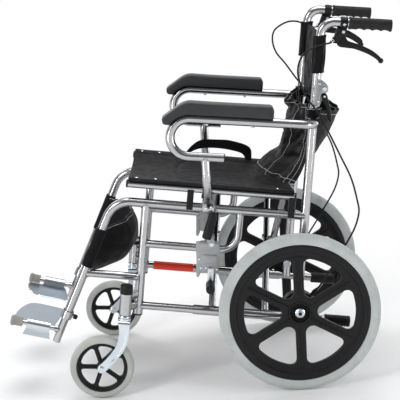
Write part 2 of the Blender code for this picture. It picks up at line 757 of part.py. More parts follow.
def rear_axle():
    """The axle bolt with its outer head and its inner nut."""
    outer = REAR_HUB.y - REAR_HUB_OUTER - CLEARANCE
    inner = FRAME_Y + FRAME_TUBE_R + CLEARANCE
    head = AXLE_HEAD_LENGTH
    profile = [(0.0, outer - head), (AXLE_HEAD_R * 0.75, outer - head),
               (AXLE_HEAD_R, outer - head * 0.6), (AXLE_HEAD_R, outer), (REAR_AXLE_R, outer),
               (REAR_AXLE_R, inner), (AXLE_HEAD_R, inner), (AXLE_HEAD_R, inner + head),
               (0.0, inner + head)]
    return turned(profile, Vector((0.0, 0.0, REAR_WHEEL_R)), Y_AXIS, TUBE_SIDES)


CABLE_STOP_AXIS = Vector((1.0, 0.0, 1.0)).normalized()


def cable_stop():
    """The end of the drum plate's cable stop, halfway across the drum's width."""
    face = FRAME_Y - FRAME_TUBE_R - CLEARANCE - HUB_BRAKE_BOSS_LENGTH
    wheel_side = REAR_HUB.y + REAR_HUB_INNER + CLEARANCE
    middle = Vector((0.0, (face + wheel_side) / 2, REAR_WHEEL_R))
    return middle + CABLE_STOP_AXIS * (HUB_BRAKE_R + CABLE_STOP_REACH)


def hub_brake():
    """The brake drum plate between the frame and the wheel."""
    start = FRAME_Y - FRAME_TUBE_R - CLEARANCE
    face = start - HUB_BRAKE_BOSS_LENGTH
    end = REAR_HUB.y + REAR_HUB_INNER + CLEARANCE
    bore = REAR_AXLE_R + CLEARANCE
    profile = [(bore, start), (HUB_BRAKE_BOSS_R, start), (HUB_BRAKE_BOSS_R, face),
               (HUB_BRAKE_R * 0.9, face), (HUB_BRAKE_R, face - 0.004), (HUB_BRAKE_R, end),
               (bore, end)]
    drum = turned(profile, Vector((0.0, 0.0, REAR_WHEEL_R)), Y_AXIS, HUB_BRAKE_STEPS)
    lug_end = cable_stop()
    return joined(drum, rod(lug_end - CABLE_STOP_AXIS * CABLE_STOP_LENGTH, lug_end, FERRULE_R))


CASTER_TOP = rail_point(CASTER_AXIS_S, HOUSING_LOW_H - CROWN_GAP, -CASTER_Y)


def caster_hub_point():
    """The caster's wheel centre: ahead of the stem, a wheel radius above the floor."""
    ahead = rail_point(CASTER_AXIS_S - CASTER_TRAIL, 0.0, -CASTER_Y)
    lift = (CASTER_WHEEL_R - ahead.z) / RAIL_NORMAL.z
    return ahead + RAIL_NORMAL * lift


CASTER_HUB = caster_hub_point()


def fork_leg(near_y, far_y):
    """One curved fork plate, from the crown to the wheel's axle."""
    top = CASTER_TOP
    hub = CASTER_HUB
    drop = top.z - hub.z
    run = top.x - hub.x
    spine = [(top.x, top.z), (top.x - run * 0.035, top.z - drop * 0.25),
             (top.x - run * 0.19, top.z - drop * 0.53), (top.x - run * 0.54, top.z - drop * 0.775),
             (hub.x, hub.z)]
    halves = [CROWN_WIDTH / 2, CROWN_WIDTH * 0.47, CROWN_WIDTH * 0.44, FORK_EYE_R * 1.1, FORK_EYE_R]
    front = []
    rear = []
    for k, (x, z) in enumerate(spine[:-1]):
        ahead = Vector(spine[k + 1]) - Vector(spine[max(k - 1, 0)])
        ahead.normalize()
        normal = Vector((ahead.y, -ahead.x))
        if k == 0:
            normal = Vector((-RAIL_AXIS.x, -RAIL_AXIS.z))
        front.append((x + normal.x * halves[k], z + normal.y * halves[k]))
        rear.append((x - normal.x * halves[k], z - normal.y * halves[k]))
    eye = arc((hub.x, hub.z), FORK_EYE_R, 130, 310, 5)
    return plate(front + eye + list(reversed(rear)), near_y, far_y)


def caster_fork():
    """Stem, crown, two legs and the wheel's axle bolt, as one swivelling piece."""
    half = FORK_INSIDE / 2
    outer = half + FORK_PLATE
    near = fork_leg(-CASTER_Y - outer, -CASTER_Y - half)
    far = fork_leg(-CASTER_Y + half, -CASTER_Y + outer)
    crown = block(CASTER_TOP - RAIL_NORMAL * CROWN_THICKNESS / 2,
                  (CROWN_WIDTH, outer * 2, CROWN_THICKNESS), (RAIL_AXIS, Y_AXIS, RAIL_NORMAL))
    length = HOUSING_HIGH_H - HOUSING_LOW_H + CROWN_GAP
    nut = HOUSING_R * 0.92
    under = CROWN_GAP - CLEARANCE
    over = length + CLEARANCE
    profile = [(0.0, -0.002), (nut, -0.002), (nut, under * 0.45), (nut * 0.88, under * 0.5),
               (nut, under * 0.55), (nut, under), (STEM_R, under), (STEM_R, over),
               (STEM_NUT_R, over), (STEM_NUT_R, over + STEM_NUT_LENGTH),
               (0.0, over + STEM_NUT_LENGTH)]
    stem = turned(profile, CASTER_TOP, RAIL_NORMAL, 16, hint=Y_AXIS)
    reach = Y_AXIS * (outer + BOLT_TIP)
    bolt = rod(CASTER_HUB - reach, CASTER_HUB + reach, CASTER_AXLE_R, hint=Z_AXIS)
    heads = []
    for sign in (-1, 1):
        face = CASTER_HUB + Y_AXIS * sign * (outer - CLEARANCE)
        top = face + Y_AXIS * sign * (BOLT_HEAD_LENGTH + CLEARANCE)
        heads.append(rod(face, top, CASTER_AXLE_R * 1.8, 8, hint=Z_AXIS))
    return joined(crown, near, far, stem, bolt, *heads)


# Folding brace

def brace_arm(sign, front_s, rear_s):
    """One arm of the brace: sleeve, two struts and the seat rail at the other side."""
    foot_y = sign * FRAME_SPACING / 2
    sleeve = rod(rail_point(BRACE_SLEEVE_FRONT_S, BOTTOM_RAIL_H, foot_y),
                 rail_point(BRACE_SLEEVE_REAR_S, BOTTOM_RAIL_H, foot_y), BRACE_SLEEVE_R)
    seat_rail = rod(rail_point(SEAT_RAIL_FRONT_S, SEAT_RAIL_H, -foot_y),
                    rail_point(SEAT_RAIL_REAR_S, SEAT_RAIL_H, -foot_y), LIGHT_TUBE_R)
    struts = []
    for s in (front_s, rear_s):
        struts.append(rod(rail_point(s, BOTTOM_RAIL_H, foot_y), rail_point(s, SEAT_RAIL_H, -foot_y),
                          BRACE_STRUT_R, hint=RAIL_AXIS))
    arm = joined(sleeve, seat_rail, *struts)
    over = RAIL_AXIS * CUT_REACH
    bore = rod(rail_point(BRACE_SLEEVE_FRONT_S, BOTTOM_RAIL_H, foot_y) - over,
               rail_point(BRACE_SLEEVE_REAR_S, BOTTOM_RAIL_H, foot_y) + over,
               LIGHT_TUBE_R + RUNNING_GAP)
    arm = cut(arm, bore)
    for s in (front_s, rear_s):
        middle = brace_middle(s)
        reach = RAIL_AXIS * BRACE_STRUT_R * 2
        arm = cut(arm, rod(middle - reach, middle + reach, PIVOT_BOLT_R + CLEARANCE))
    return arm


def brace_middle(s):
    """The point where the two arms cross, at s along the rails."""
    return rail_point(s, (BOTTOM_RAIL_H + SEAT_RAIL_H) / 2, 0.0)


STRUT_STEP = BRACE_STRUT_R * 2 + BRACE_STRUT_GAP
STRUTS_A = (BRACE_STRUT_FRONT_S, BRACE_STRUT_REAR_S)
STRUTS_B = (BRACE_STRUT_FRONT_S - STRUT_STEP, BRACE_STRUT_REAR_S + STRUT_STEP)


def pivot_bolt(a, b):
    """A bolt on which two struts turn, at a and b along the rails."""
    low = min(a, b) - BRACE_STRUT_R - CLEARANCE
    high = max(a, b) + BRACE_STRUT_R + CLEARANCE
    head = PIVOT_HEAD_LENGTH
    profile = [(0.0, low - head), (PIVOT_HEAD_R, low - head), (PIVOT_HEAD_R, low),
               (PIVOT_BOLT_R, low), (PIVOT_BOLT_R, high), (PIVOT_HEAD_R, high),
               (PIVOT_HEAD_R, high + head), (0.0, high + head)]
    return turned(profile, brace_middle(0.0), RAIL_AXIS, 8, hint=Y_AXIS)


# Back posts and hinges

HINGE = upright_point(HINGE_Z) + Vector((HINGE_BEHIND, 0.0, 0.0))
HANDLE_CORNER = upright_point(HANDLE_CORNER_Z)


def handle_point(along, up=0.0):
    """A point on the push handle's line, measured from its bend's corner."""
    return HANDLE_CORNER + HANDLE_AXIS * along + HANDLE_NORMAL * up


def back_post():
    """The folding post: knuckle at the hinge, tube, bend and push handle."""
    start = upright_point(HINGE_Z + SPLIT_ABOVE_HINGE)
    end = handle_point(GRIP_START + GRIP_LENGTH - GRIP_END_WALL - CLEARANCE)
    tube = bar(fillet([start, HANDLE_CORNER, end], [HANDLE_BEND]), FRAME_TUBE_R)
    half = FRAME_TUBE_R - 0.0005
    knuckle = rod(HINGE - Y_AXIS * half, HINGE + Y_AXIS * half, HINGE_KNUCKLE_R, 16, hint=Z_AXIS)
    low = start.z + 0.0010
    high = start.z + 0.0150
    arm = plate([(start.x, low), (HINGE.x + 0.002, low), (HINGE.x + HINGE_KNUCKLE_R * 0.7, low + 0.004),
                 (HINGE.x, high), (start.x, high)], HINGE.y - half, HINGE.y + half)
    side = Y_AXIS * CUT_REACH * 2
    hole = rod(HINGE - side, HINGE + side, HINGE_BOLT_R + CLEARANCE, hint=Z_AXIS)
    return cut(joined(tube, knuckle, arm), hole)


LATCH_PIVOT = HINGE - Z_AXIS * LATCH_BELOW_HINGE


def back_hinge_bracket():
    """Two cheeks riveted to the upright, with the hinge bolt and the latch pin."""
    foot = upright_point(HINGE_Z - 0.043)
    front = foot.x - 0.005
    outline = [(front, HINGE_Z - 0.043), (foot.x + 0.0155, HINGE_Z - 0.044),
               (HINGE.x - 0.0045, LATCH_PIVOT.z - 0.0095), (HINGE.x + 0.006, LATCH_PIVOT.z - 0.0055),
               (HINGE.x + 0.0055, LATCH_PIVOT.z + 0.0065), (HINGE.x + 0.009, HINGE_Z - 0.007),
               (HINGE.x + 0.009, HINGE_Z + 0.007), (HINGE.x - 0.0025, HINGE_Z + 0.017),
               (HINGE.x - 0.0145, HINGE_Z + 0.0245), (front, HINGE_Z + 0.021)]
    inner = FRAME_TUBE_R + SLIDING_GAP
    outer = inner + CHEEK_THICKNESS
    near = plate(outline, FRAME_Y - outer, FRAME_Y - inner)
    far = plate(outline, FRAME_Y + inner, FRAME_Y + outer)
    reach = Y_AXIS * (outer + 0.004)
    bolt = rod(HINGE - reach, HINGE + reach, HINGE_BOLT_R, hint=Z_AXIS)
    pin = rod(LATCH_PIVOT - reach * 0.95, LATCH_PIVOT + reach * 0.95, HINGE_BOLT_R * 0.7, 8,
              hint=Z_AXIS)
    return joined(near, far, bolt, pin)


def hinge_latch():
    """The black release lever behind the upright."""
    half = LATCH_WIDTH / 2
    head = rod(LATCH_PIVOT - Y_AXIS * half, LATCH_PIVOT + Y_AXIS * half, LATCH_HEAD_R,
               hint=Z_AXIS)
    p = LATCH_PIVOT
    outline = [(p.x - 0.0055, p.z - 0.002), (p.x + 0.0060, p.z - 0.001),
               (p.x + 0.0115, p.z - LATCH_LENGTH * 0.45), (p.x + 0.0150, p.z - LATCH_LENGTH),
               (p.x + 0.0085, p.z - LATCH_LENGTH), (p.x + 0.0010, p.z - LATCH_LENGTH * 0.45)]
    tongue = plate(outline, p.y - half * 0.8, p.y + half * 0.8)
    side = Y_AXIS * LATCH_WIDTH
    hole = rod(p - side, p + side, HINGE_BOLT_R * 0.7 + CLEARANCE, hint=Z_AXIS)
    return cut(joined(head, tongue), hole)


def handle_grip():
    """The push grip over the handle tube."""
    bore = FRAME_TUBE_R + CLEARANCE
    end = GRIP_LENGTH
    wall = GRIP_END_WALL
    profile = [(bore, 0.0), (GRIP_R + 0.001, 0.0), (GRIP_R + 0.001, 0.005), (GRIP_R, 0.007),
               (GRIP_R, end - 0.008), (GRIP_R + 0.0005, end - 0.005), (GRIP_R - 0.0015, end),
               (0.0, end), (0.0, end - wall), (bore, end - wall)]
    return open_cup(profile, handle_point(GRIP_START), HANDLE_AXIS, 14)


# Hand brake

BRAKE_PIVOT = handle_point(BRAKE_CLAMP_AT, -BRAKE_PIVOT_DROP)


def near_pivot(outline):
    """Corners given from the brake lever's pivot, in the handle's plane."""
    return [(BRAKE_PIVOT.x + x, BRAKE_PIVOT.z + z) for x, z in outline]


def hand_brake_body():
    """The clamp on the handle with two cheeks, the pivot pin and the cable ferrule."""
    outer = FRAME_TUBE_R + BRAKE_CLAMP_WALL
    clamp_half = BRAKE_CLAMP_LENGTH / 2
    ring = rod(handle_point(BRAKE_CLAMP_AT - clamp_half), handle_point(BRAKE_CLAMP_AT + clamp_half),
               outer, 12)
    inner = BRAKE_SLOT / 2
    wide = inner + BRAKE_CHEEK
    cheek = near_pivot([(-0.0125, 0.014), (0.0085, 0.0120), (0.0085, -0.0045), (0.001, -0.0075),
                        (-0.0155, -0.0270), (-0.0275, -0.0245), (-0.0205, -0.006)])
    near = plate(cheek, FRAME_Y - wide, FRAME_Y - inner)
    far = plate(cheek, FRAME_Y + inner, FRAME_Y + wide)
    bridge = plate(near_pivot([(-0.0125, 0.014), (0.0085, 0.0120), (0.0085, 0.0070),
                               (-0.0125, 0.0080)]), FRAME_Y - wide, FRAME_Y + wide)
    nose = plate(near_pivot([(-0.0265, -0.0130), (-0.0195, -0.0130), (-0.0195, -0.0265),
                             (-0.0275, -0.0245)]), FRAME_Y - wide, FRAME_Y + wide)
    pin = rod(BRAKE_PIVOT - Y_AXIS * (wide + 0.001), BRAKE_PIVOT + Y_AXIS * (wide + 0.001),
              BRAKE_PIN_R, hint=Z_AXIS)
    mouth = ferrule_mouth()
    ferrule = rod(mouth - FERRULE_AXIS * (FERRULE_LENGTH + 0.003), mouth, FERRULE_R,
                  hint=Z_AXIS)
    body = joined(ring, bridge, near, far, nose, pin, ferrule)
    over = HANDLE_AXIS * 0.02
    middle = handle_point(BRAKE_CLAMP_AT)
    return cut(body, rod(middle - over, middle + over, FRAME_TUBE_R + CLEARANCE))


FERRULE_AXIS = Vector((-0.62, -0.76, -0.20)).normalized()


def ferrule_mouth():
    """The end of the ferrule, where the cable leaves the brake body."""
    return BRAKE_PIVOT + Vector((-0.0240, -0.0050, -0.0190)) + FERRULE_AXIS * FERRULE_LENGTH


def hand_brake_lever():
    """The brake lever: head on the pin, long curved arm and ball end."""
    outline = near_pivot([(-0.0050, 0.0050), (0.0035, 0.0050), (0.0060, -0.0120), (0.0105, -0.0205),
                          (0.0260, -0.0275), (0.0435, -0.0350), (0.0672, -0.0485),
                          (0.0830, -0.0615), (0.0900, -0.0700), (0.0840, -0.0765),
                          (0.0765, -0.0695), (0.0570, -0.0575), (0.0270, -0.0420),
                          (0.0080, -0.0380), (-0.0130, -0.0330), (-0.0165, -0.0200)])
    y = FRAME_Y
    arm = plate(outline, y - 0.0018, y + 0.0048)
    ball_centre = Vector((BRAKE_PIVOT.x + 0.0895, y + 0.0015, BRAKE_PIVOT.z - 0.0755))
    ball = turned([(0.0, -0.0060), (0.0045, -0.0042), (0.0065, 0.0), (0.0045, 0.0042),
                   (0.0, 0.0060)], ball_centre, Y_AXIS, 10)
    side = Y_AXIS * CUT_REACH * 2
    hole = rod(BRAKE_PIVOT - side, BRAKE_PIVOT + side, BRAKE_PIN_R + CLEARANCE, hint=Z_AXIS)
    return cut(joined(arm, ball), hole)


def hand_brake_lock():
    """The small lock trigger beside the lever, on the same pin."""
    outline = near_pivot([(-0.0045, 0.0035), (0.0030, 0.0045), (0.0120, 0.0028), (0.0264, -0.0060),
                          (0.0420, -0.0190), (0.0455, -0.0270), (0.0430, -0.0310),
                          (0.0380, -0.0285), (0.0340, -0.0235), (0.0200, -0.0125),
                          (0.0045, -0.0060), (-0.0040, -0.0045)])
    lock = plate(outline, FRAME_Y - 0.0050, FRAME_Y - 0.0024)
    side = Y_AXIS * CUT_REACH * 2
    hole = rod(BRAKE_PIVOT - side, BRAKE_PIVOT + side, BRAKE_PIN_R + CLEARANCE, hint=Z_AXIS)
    return cut(lock, hole)


# Brake cables, held at the brake body, at the upright's clip and at the hub.
# A route's points are (x, distance outward from the side frame, z).

LEFT_CABLE = [(0.0780, 0.0210, 0.8470), (0.0450, 0.0230, 0.8337), (0.0275, 0.0250, 0.8106),
              (0.0230, 0.0270, 0.7795), (0.0335, 0.0270, 0.7426), (0.0470, 0.0255, 0.7150),
              (0.0600, 0.0245, 0.6980), (0.0745, 0.0250, 0.6700), (0.0893, 0.0290, 0.6405),
              (0.1163, 0.0330, 0.5797), (0.1412, 0.0360, 0.5211), (0.1541, 0.0380, 0.4653),
              (0.1568, 0.0390, 0.4349), (0.1445, 0.0390, 0.3951), (0.1180, 0.0390, 0.3500),
              (0.0880, 0.0385, 0.3030)]
RIGHT_CABLE = [(0.0800, 0.0215, 0.8590), (0.0560, 0.0230, 0.8690), (0.0280, 0.0240, 0.8680),
               (-0.0030, 0.0245, 0.8500), (-0.0112, 0.0255, 0.8230), (-0.0030, 0.0270, 0.7890),
               (0.0200, 0.0270, 0.7576), (0.0430, 0.0255, 0.7230), (0.0600, 0.0245, 0.6980),
               (0.0745, 0.0250, 0.6700), (0.0893, 0.0290, 0.6405), (0.1163, 0.0330, 0.5797),
               (0.1412, 0.0360, 0.5211), (0.1541, 0.0380, 0.4653), (0.1568, 0.0390, 0.4349),
               (0.1445, 0.0390, 0.3951), (0.1180, 0.0390, 0.3500), (0.0880, 0.0385, 0.3030)]


def brake_cable(route, sign):
    """A brake cable as a bevelled curve from the ferrule to the hub brake."""
    gap = CLEARANCE + 0.0002
    leaving = Vector((FERRULE_AXIS.x, -sign * FERRULE_AXIS.y, FERRULE_AXIS.z))
    mouth = ferrule_mouth()
    start = Vector((mouth.x, -sign * mouth.y, mouth.z)) + leaving * gap
    lead = start + leaving * 0.010
    stop = cable_stop()
    end = Vector((stop.x, -sign * stop.y, stop.z)) + CABLE_STOP_AXIS * gap
    before_end = end + CABLE_STOP_AXIS * 0.012
    middle = [Vector((x, sign * (FRAME_SPACING / 2 + out), z)) for x, out, z in route]
    knots = [start, lead, *middle, before_end, end]
    points = smooth_path(knots, 2)
    curve = bpy.data.curves.new("cable", "CURVE")
    curve.dimensions = "3D"
    curve.bevel_depth = CABLE_R
    curve.bevel_resolution = 2
    curve.use_fill_caps = True
    spline = curve.splines.new("POLY")
    spline.points.add(len(points) - 1)
    for spot, point in zip(spline.points, points):
        spot.co = (*point, 1.0)
    guide = bpy.data.objects.new("cable", curve)
    bpy.context.collection.objects.link(guide)
    graph = bpy.context.evaluated_depsgraph_get()
    mesh = bpy.data.meshes.new_from_object(guide.evaluated_get(graph))
    bpy.data.objects.remove(guide)
    piece = bpy.data.objects.new("piece", mesh)
    bpy.context.collection.objects.link(piece)
    return piece


# Parking brake

PARK_CENTRE = rail_point(PARK_S, MID_RAIL_H)
PARK_LEVER_PIVOT = PARK_CENTRE + Vector((0.0070, 0.0, 0.0165))
PARK_SHOE_PIVOT = PARK_CENTRE + Vector((0.0010, 0.0, -0.0500))
PARK_SHOE_CENTRE = PARK_SHOE_PIVOT + Vector((-0.0033, 0.0, -0.0355))
PARK_CHEEK_Y = FRAME_Y - LIGHT_TUBE_R - CLEARANCE - PARK_BLOCK_WALL - PARK_PLATE
PARK_ARM_Y = PARK_CHEEK_Y - 0.0015


def parking_brake_bracket():
    """The zinc clamp on the middle rail, with the pins of lever and shoe."""
    bore = round_hole(LIGHT_TUBE_R)
    inner = bore + 0.004
    outer = bore + PARK_BLOCK_WALL
    middle = PARK_CENTRE + Y_AXIS * (inner - outer) / 2
    clamp = block(middle, (PARK_BLOCK_LENGTH, inner + outer, outer * 2),
                  (RAIL_AXIS, Y_AXIS, RAIL_NORMAL))
    corners = [(-0.032, 0.0255), (0.024, 0.022), (0.028, 0.0), (0.020, -0.0575), (0.008, -0.0625),
               (-0.026, -0.0525), (-0.033, -0.0255)]
    outline = [(PARK_CENTRE.x + x, PARK_CENTRE.z + z) for x, z in corners]
    cheek = plate(outline, PARK_CHEEK_Y, PARK_CHEEK_Y + PARK_PLATE + 0.001)
    reach = PARK_ARM_Y - PARK_PLATE - 0.003
    pins = []
    for pivot in (PARK_LEVER_PIVOT, PARK_SHOE_PIVOT):
        pins.append(rod(Vector((pivot.x, PARK_CHEEK_Y + 0.003, pivot.z)),
                        Vector((pivot.x, reach, pivot.z)), PARK_PIN_R, hint=Z_AXIS))
    bracket = joined(clamp, cheek, *pins)
    over = RAIL_AXIS * PARK_BLOCK_LENGTH
    return cut(bracket, rod(PARK_CENTRE - over, PARK_CENTRE + over, bore))


def link_outline(start, start_r, end, end_r):
    """A flat link with round ends, as (x, z) corners."""
    turn = math.degrees(math.atan2(end.z - start.z, end.x - start.x))
    first = arc((start.x, start.z), start_r, turn + 90, turn + 270, 6)
    return first + arc((end.x, end.z), end_r, turn - 90, turn + 90, 6)


def parking_brake_lever():
    """The steel lever with its black grip."""
    low = PARK_LEVER_PIVOT + Vector((-0.0050, 0.0, 0.0200))
    top = PARK_LEVER_PIVOT + Vector((0.0090, 0.0, 0.0830))
    outline = link_outline(PARK_LEVER_PIVOT, 0.0085, low + (top - low) * 0.2, 0.0070)
    link = plate(outline, PARK_ARM_Y - PARK_PLATE, PARK_ARM_Y)
    grip_y = PARK_ARM_Y - PARK_GRIP_R - 0.0005
    centre_low = Vector((low.x, grip_y, low.z))
    centre_top = Vector((top.x, grip_y, top.z))
    grip = bar([centre_low, centre_low + (centre_top - centre_low) * 0.9, centre_top],
               [PARK_GRIP_R, PARK_GRIP_R, PARK_GRIP_R * 0.7], flat=[PARK_GRIP_R] * 3)
    neck = rod(Vector((low.x, PARK_ARM_Y - PARK_PLATE * 0.5, low.z + 0.006)),
               Vector((low.x, grip_y, low.z + 0.006)), 0.005, 8, hint=Z_AXIS)
    side = Y_AXIS * 0.05
    hole = rod(PARK_LEVER_PIVOT - side, PARK_LEVER_PIVOT + side, PARK_PIN_R + CLEARANCE,
               hint=Z_AXIS)
    return cut(joined(link, neck, grip), hole)


def parking_brake_shoe():
    """The swinging arm with the ribbed peg that presses on the tyre."""
    outline = link_outline(PARK_SHOE_PIVOT, 0.0080, PARK_SHOE_CENTRE, 0.0075)
    link = plate(outline, PARK_ARM_Y - PARK_PLATE, PARK_ARM_Y)
    start = PARK_ARM_Y - PARK_PLATE + 0.001
    profile = [(0.0, 0.0), (PARK_SHOE_R, 0.0)]
    pitch = PARK_SHOE_LENGTH / PARK_SHOE_RIBS
    for k in range(PARK_SHOE_RIBS):
        profile.append((PARK_SHOE_R, -pitch * (k + 0.7)))
        profile.append((PARK_SHOE_R - PARK_SHOE_GROOVE, -pitch * (k + 0.8)))
        profile.append((PARK_SHOE_R, -pitch * (k + 0.9)))
    profile.append((0.0, -PARK_SHOE_LENGTH))
    peg = turned(profile, Vector((PARK_SHOE_CENTRE.x, start, PARK_SHOE_CENTRE.z)), Y_AXIS, 10)
    side = Y_AXIS * 0.05
    hole = rod(PARK_SHOE_PIVOT - side, PARK_SHOE_PIVOT + side, PARK_PIN_R + CLEARANCE, hint=Z_AXIS)
    return cut(joined(link, peg), hole)


# Footrests

ROD_START = HANGER_END + HANGER_AXIS * FOOT_ROD_AT
ROD_SIDE = Y_AXIS
ROD_UP = Vector((math.sin(FOOT_ROD_RISE), 0.0, math.cos(FOOT_ROD_RISE)))


def footrest_tube():
    """The sliding tube with its rod for the footplate."""
    tube = rod(HANGER_END - HANGER_AXIS * FOOT_TUBE_IN, HANGER_END + HANGER_AXIS * FOOT_TUBE_OUT,
               FOOT_TUBE_R)
    tip = ROD_START + ROD_AXIS * FOOT_ROD_LENGTH
    rib_end = tip - ROD_AXIS * FOOT_PLUG_RIB * 2
    foot_rod = rod(ROD_START, rib_end, FOOT_ROD_R)
    boss = rod(ROD_START, ROD_START + ROD_AXIS * FOOT_BOSS_LENGTH, FOOT_ROD_R * 1.45)
    plug = rod(tip - ROD_AXIS * FOOT_PLUG_LENGTH, tip, FOOT_PLUG_R)
    flange = rod(rib_end - ROD_AXIS * FOOT_PLUG_RIB_LENGTH, rib_end, FOOT_PLUG_R + FOOT_PLUG_RIB)
    return joined(tube, foot_rod, boss, plug, flange)


def on_plate(along, inward, up):
    """A point on the footplate: along the rod, inward from it, and up from its face."""
    cos_tilt = math.cos(FOOT_PLATE_TILT)
    sin_tilt = math.sin(FOOT_PLATE_TILT)
    inward_axis = ROD_SIDE * cos_tilt + ROD_UP * sin_tilt
    up_axis = ROD_UP * cos_tilt - ROD_SIDE * sin_tilt
    return ROD_START + ROD_AXIS * along + inward_axis * inward + up_axis * up


def extruded(corners, offset):
    """A flat outline of points, extruded by an offset."""
    shape = bmesh.new()
    low = [shape.verts.new(corner) for corner in corners]
    high = [shape.verts.new(corner + offset) for corner in corners]
    skin(shape, [low, high])
    return as_object(shape)


def footplate():
    """The pressed plate, the sleeve that turns on the rod and its outer skirt."""
    top = FOOT_PLATE_DROP
    shares = [(0.19, 0.0), (0.16, 0.20), (0.065, 0.75), (0.05, 0.92), (0.11, 1.0), (0.49, 1.0),
              (0.68, 0.92), (0.84, 0.72), (0.97, 0.38), (1.0, 0.19), (0.94, 0.13), (0.70, 0.11),
              (0.70, 0.0)]
    outline = [on_plate(FOOT_PLATE_LENGTH * a, FOOT_PLATE_WIDTH * b, -top) for a, b in shares]
    down = on_plate(0, 0, -1) - on_plate(0, 0, 0)
    board = extruded(outline, down * FOOT_PLATE_THICKNESS)
    reach = FOOT_SLEEVE_R
    bend = [on_plate(a, b, FOOT_BEND_DEPTH * 2 - top) for a, b in
            ((-reach, -reach), (-reach, FOOT_BEND_WIDTH), (FOOT_ROD_LENGTH, FOOT_BEND_WIDTH),
             (FOOT_ROD_LENGTH, -reach))]
    board = cut(board, extruded(bend, down * FOOT_BEND_DEPTH * 3))
    start = ROD_START + ROD_AXIS * FOOT_SLEEVE_START
    end = start + ROD_AXIS * FOOT_SLEEVE_LENGTH
    sleeve = rod(start, end, FOOT_SLEEVE_R, 16)
    outer = -FOOT_SLEEVE_R * 0.80
    skirt_top = [start + ROD_SIDE * outer, end + ROD_SIDE * outer]
    flare = ROD_SIDE * -FOOT_SKIRT_FLARE - ROD_UP * FOOT_SKIRT_DROP
    spread = ROD_AXIS * FOOT_SKIRT_FLARE
    skirt = extruded([skirt_top[0], skirt_top[1], skirt_top[1] + flare + spread,
                      skirt_top[0] + flare - spread], ROD_SIDE * FOOT_PLATE_THICKNESS)
    over = ROD_AXIS * CUT_REACH
    bore = rod(start - over, end + over, FOOT_ROD_R + RUNNING_GAP, 16)
    return cut(joined(board, sleeve, skirt), bore)


# Seat, back, calf strap and other cloth

def seat_half(sign):
    """Half of the seat sling, from its seat rail to the centre line."""
    edge = FRAME_SPACING / 2 + SEAT_OVERHANG
    front = SEAT_RAIL_FRONT_S + 0.002
    rear = SEAT_RAIL_REAR_S - 0.004
    lift = LIGHT_TUBE_R + SEAT_CLOTH / 2 + CLEARANCE

    rail_y = FRAME_SPACING / 2
    rows = [edge, rail_y + 0.0045, rail_y - 0.0045]
    rows += [CENTRE_GAP + (rail_y - CENTRE_GAP) * share for share in (0.86, 0.68, 0.46, 0.23, 0.0)]

    def middle(u, v):
        y = rows[round(u * (len(rows) - 1))]
        s = front + (rear - front) * v
        inside = max(0.0, 1 - (y / rows[2]) ** 2)
        wrinkle = SEAT_WRINKLE * math.sin(9 * v + 2.0) * math.sin(math.pi * min(1.0, u * 1.4))
        drop = 0.0 if y < rail_y + 0.01 else 0.002
        h = SEAT_RAIL_H + lift - SEAT_SAG * inside + wrinkle * inside - drop
        return rail_point(s, h, sign * y)

    return cloth(middle, len(rows) - 1, 9, SEAT_CLOTH)


def lift_strap():
    """The webbing handle sewn to the seat's right edge."""
    y = FRAME_SPACING / 2 - 0.016
    start_s = -0.3294
    lift = LIGHT_TUBE_R + SEAT_CLOTH + CLEARANCE
    sag = SEAT_SAG * (1 - (y / (FRAME_SPACING / 2)) ** 2)

    def middle(u, v):
        rise = math.sin(math.pi * v) ** 0.65 * STRAP_RISE if 0 < v < 1 else 0.0
        s = start_s + STRAP_LENGTH * v
        return rail_point(s, SEAT_RAIL_H + lift - sag + rise, y + STRAP_WIDTH * (u - 0.5))

    return cloth(middle, 1, 12, STRAP_THICKNESS)


def back_sling():
    """The upper back: two tunnels round the posts and the bowed cloth between them."""
    sleeves = []
    for sign in (-1, 1):
        y = sign * FRAME_SPACING / 2
        sleeves.append(rod(upright_point(SLING_LOW_Z, y), upright_point(SLING_HIGH_Z, y), SLEEVE_R))
    reach = FRAME_SPACING / 2 - SLEEVE_R * 0.8

    def middle(u, v):
        y = -reach + 2 * reach * u
        inside = 1 - (y / reach) ** 2
        top = SLING_HIGH_Z - 0.003 - 0.010 * inside
        low = SLING_LOW_Z + 0.004 - 0.072 * min(1.0, inside * 1.6)
        point = upright_point(top + (low - top) * v, y)
        return point + Vector((SLING_BOW * inside + 0.003 * math.sin(7 * v + 5 * u) * inside, 0, 0))

    sling = joined(cloth(middle, 10, 5, CLOTH), *sleeves)
    for sign in (-1, 1):
        y = sign * FRAME_SPACING / 2
        sling = cut(sling, rod(upright_point(SLING_LOW_Z - 0.01, y),
                               upright_point(SLING_HIGH_Z + 0.01, y), FRAME_TUBE_R + CLEARANCE))
    return sling


def profile_point(profile, v):
    """A point at share v along a chain of (x, z) points."""
    place_along = v * (len(profile) - 1)
    k = min(int(place_along), len(profile) - 2)
    share = place_along - k
    (x0, z0), (x1, z1) = profile[k], profile[k + 1]
    return x0 + (x1 - x0) * share, z0 + (z1 - z0) * share


def hung_cloth(centre, side, reach, fold, columns, rows):
    """A sheet whose upright profile runs from a centre shape to a side shape."""

    def middle(u, v):
        y = -reach + 2 * reach * u
        inside = 1 - abs(y / reach) ** 2.4
        cx, cz = profile_point(centre, v)
        sx, sz = profile_point(side, v)
        wave = fold * math.sin(4 * math.pi * u) * math.sin(math.pi * v)
        return sx + (cx - sx) * inside + wave, y, sz + (cz - sz) * inside

    return cloth(middle, columns, rows, CLOTH)


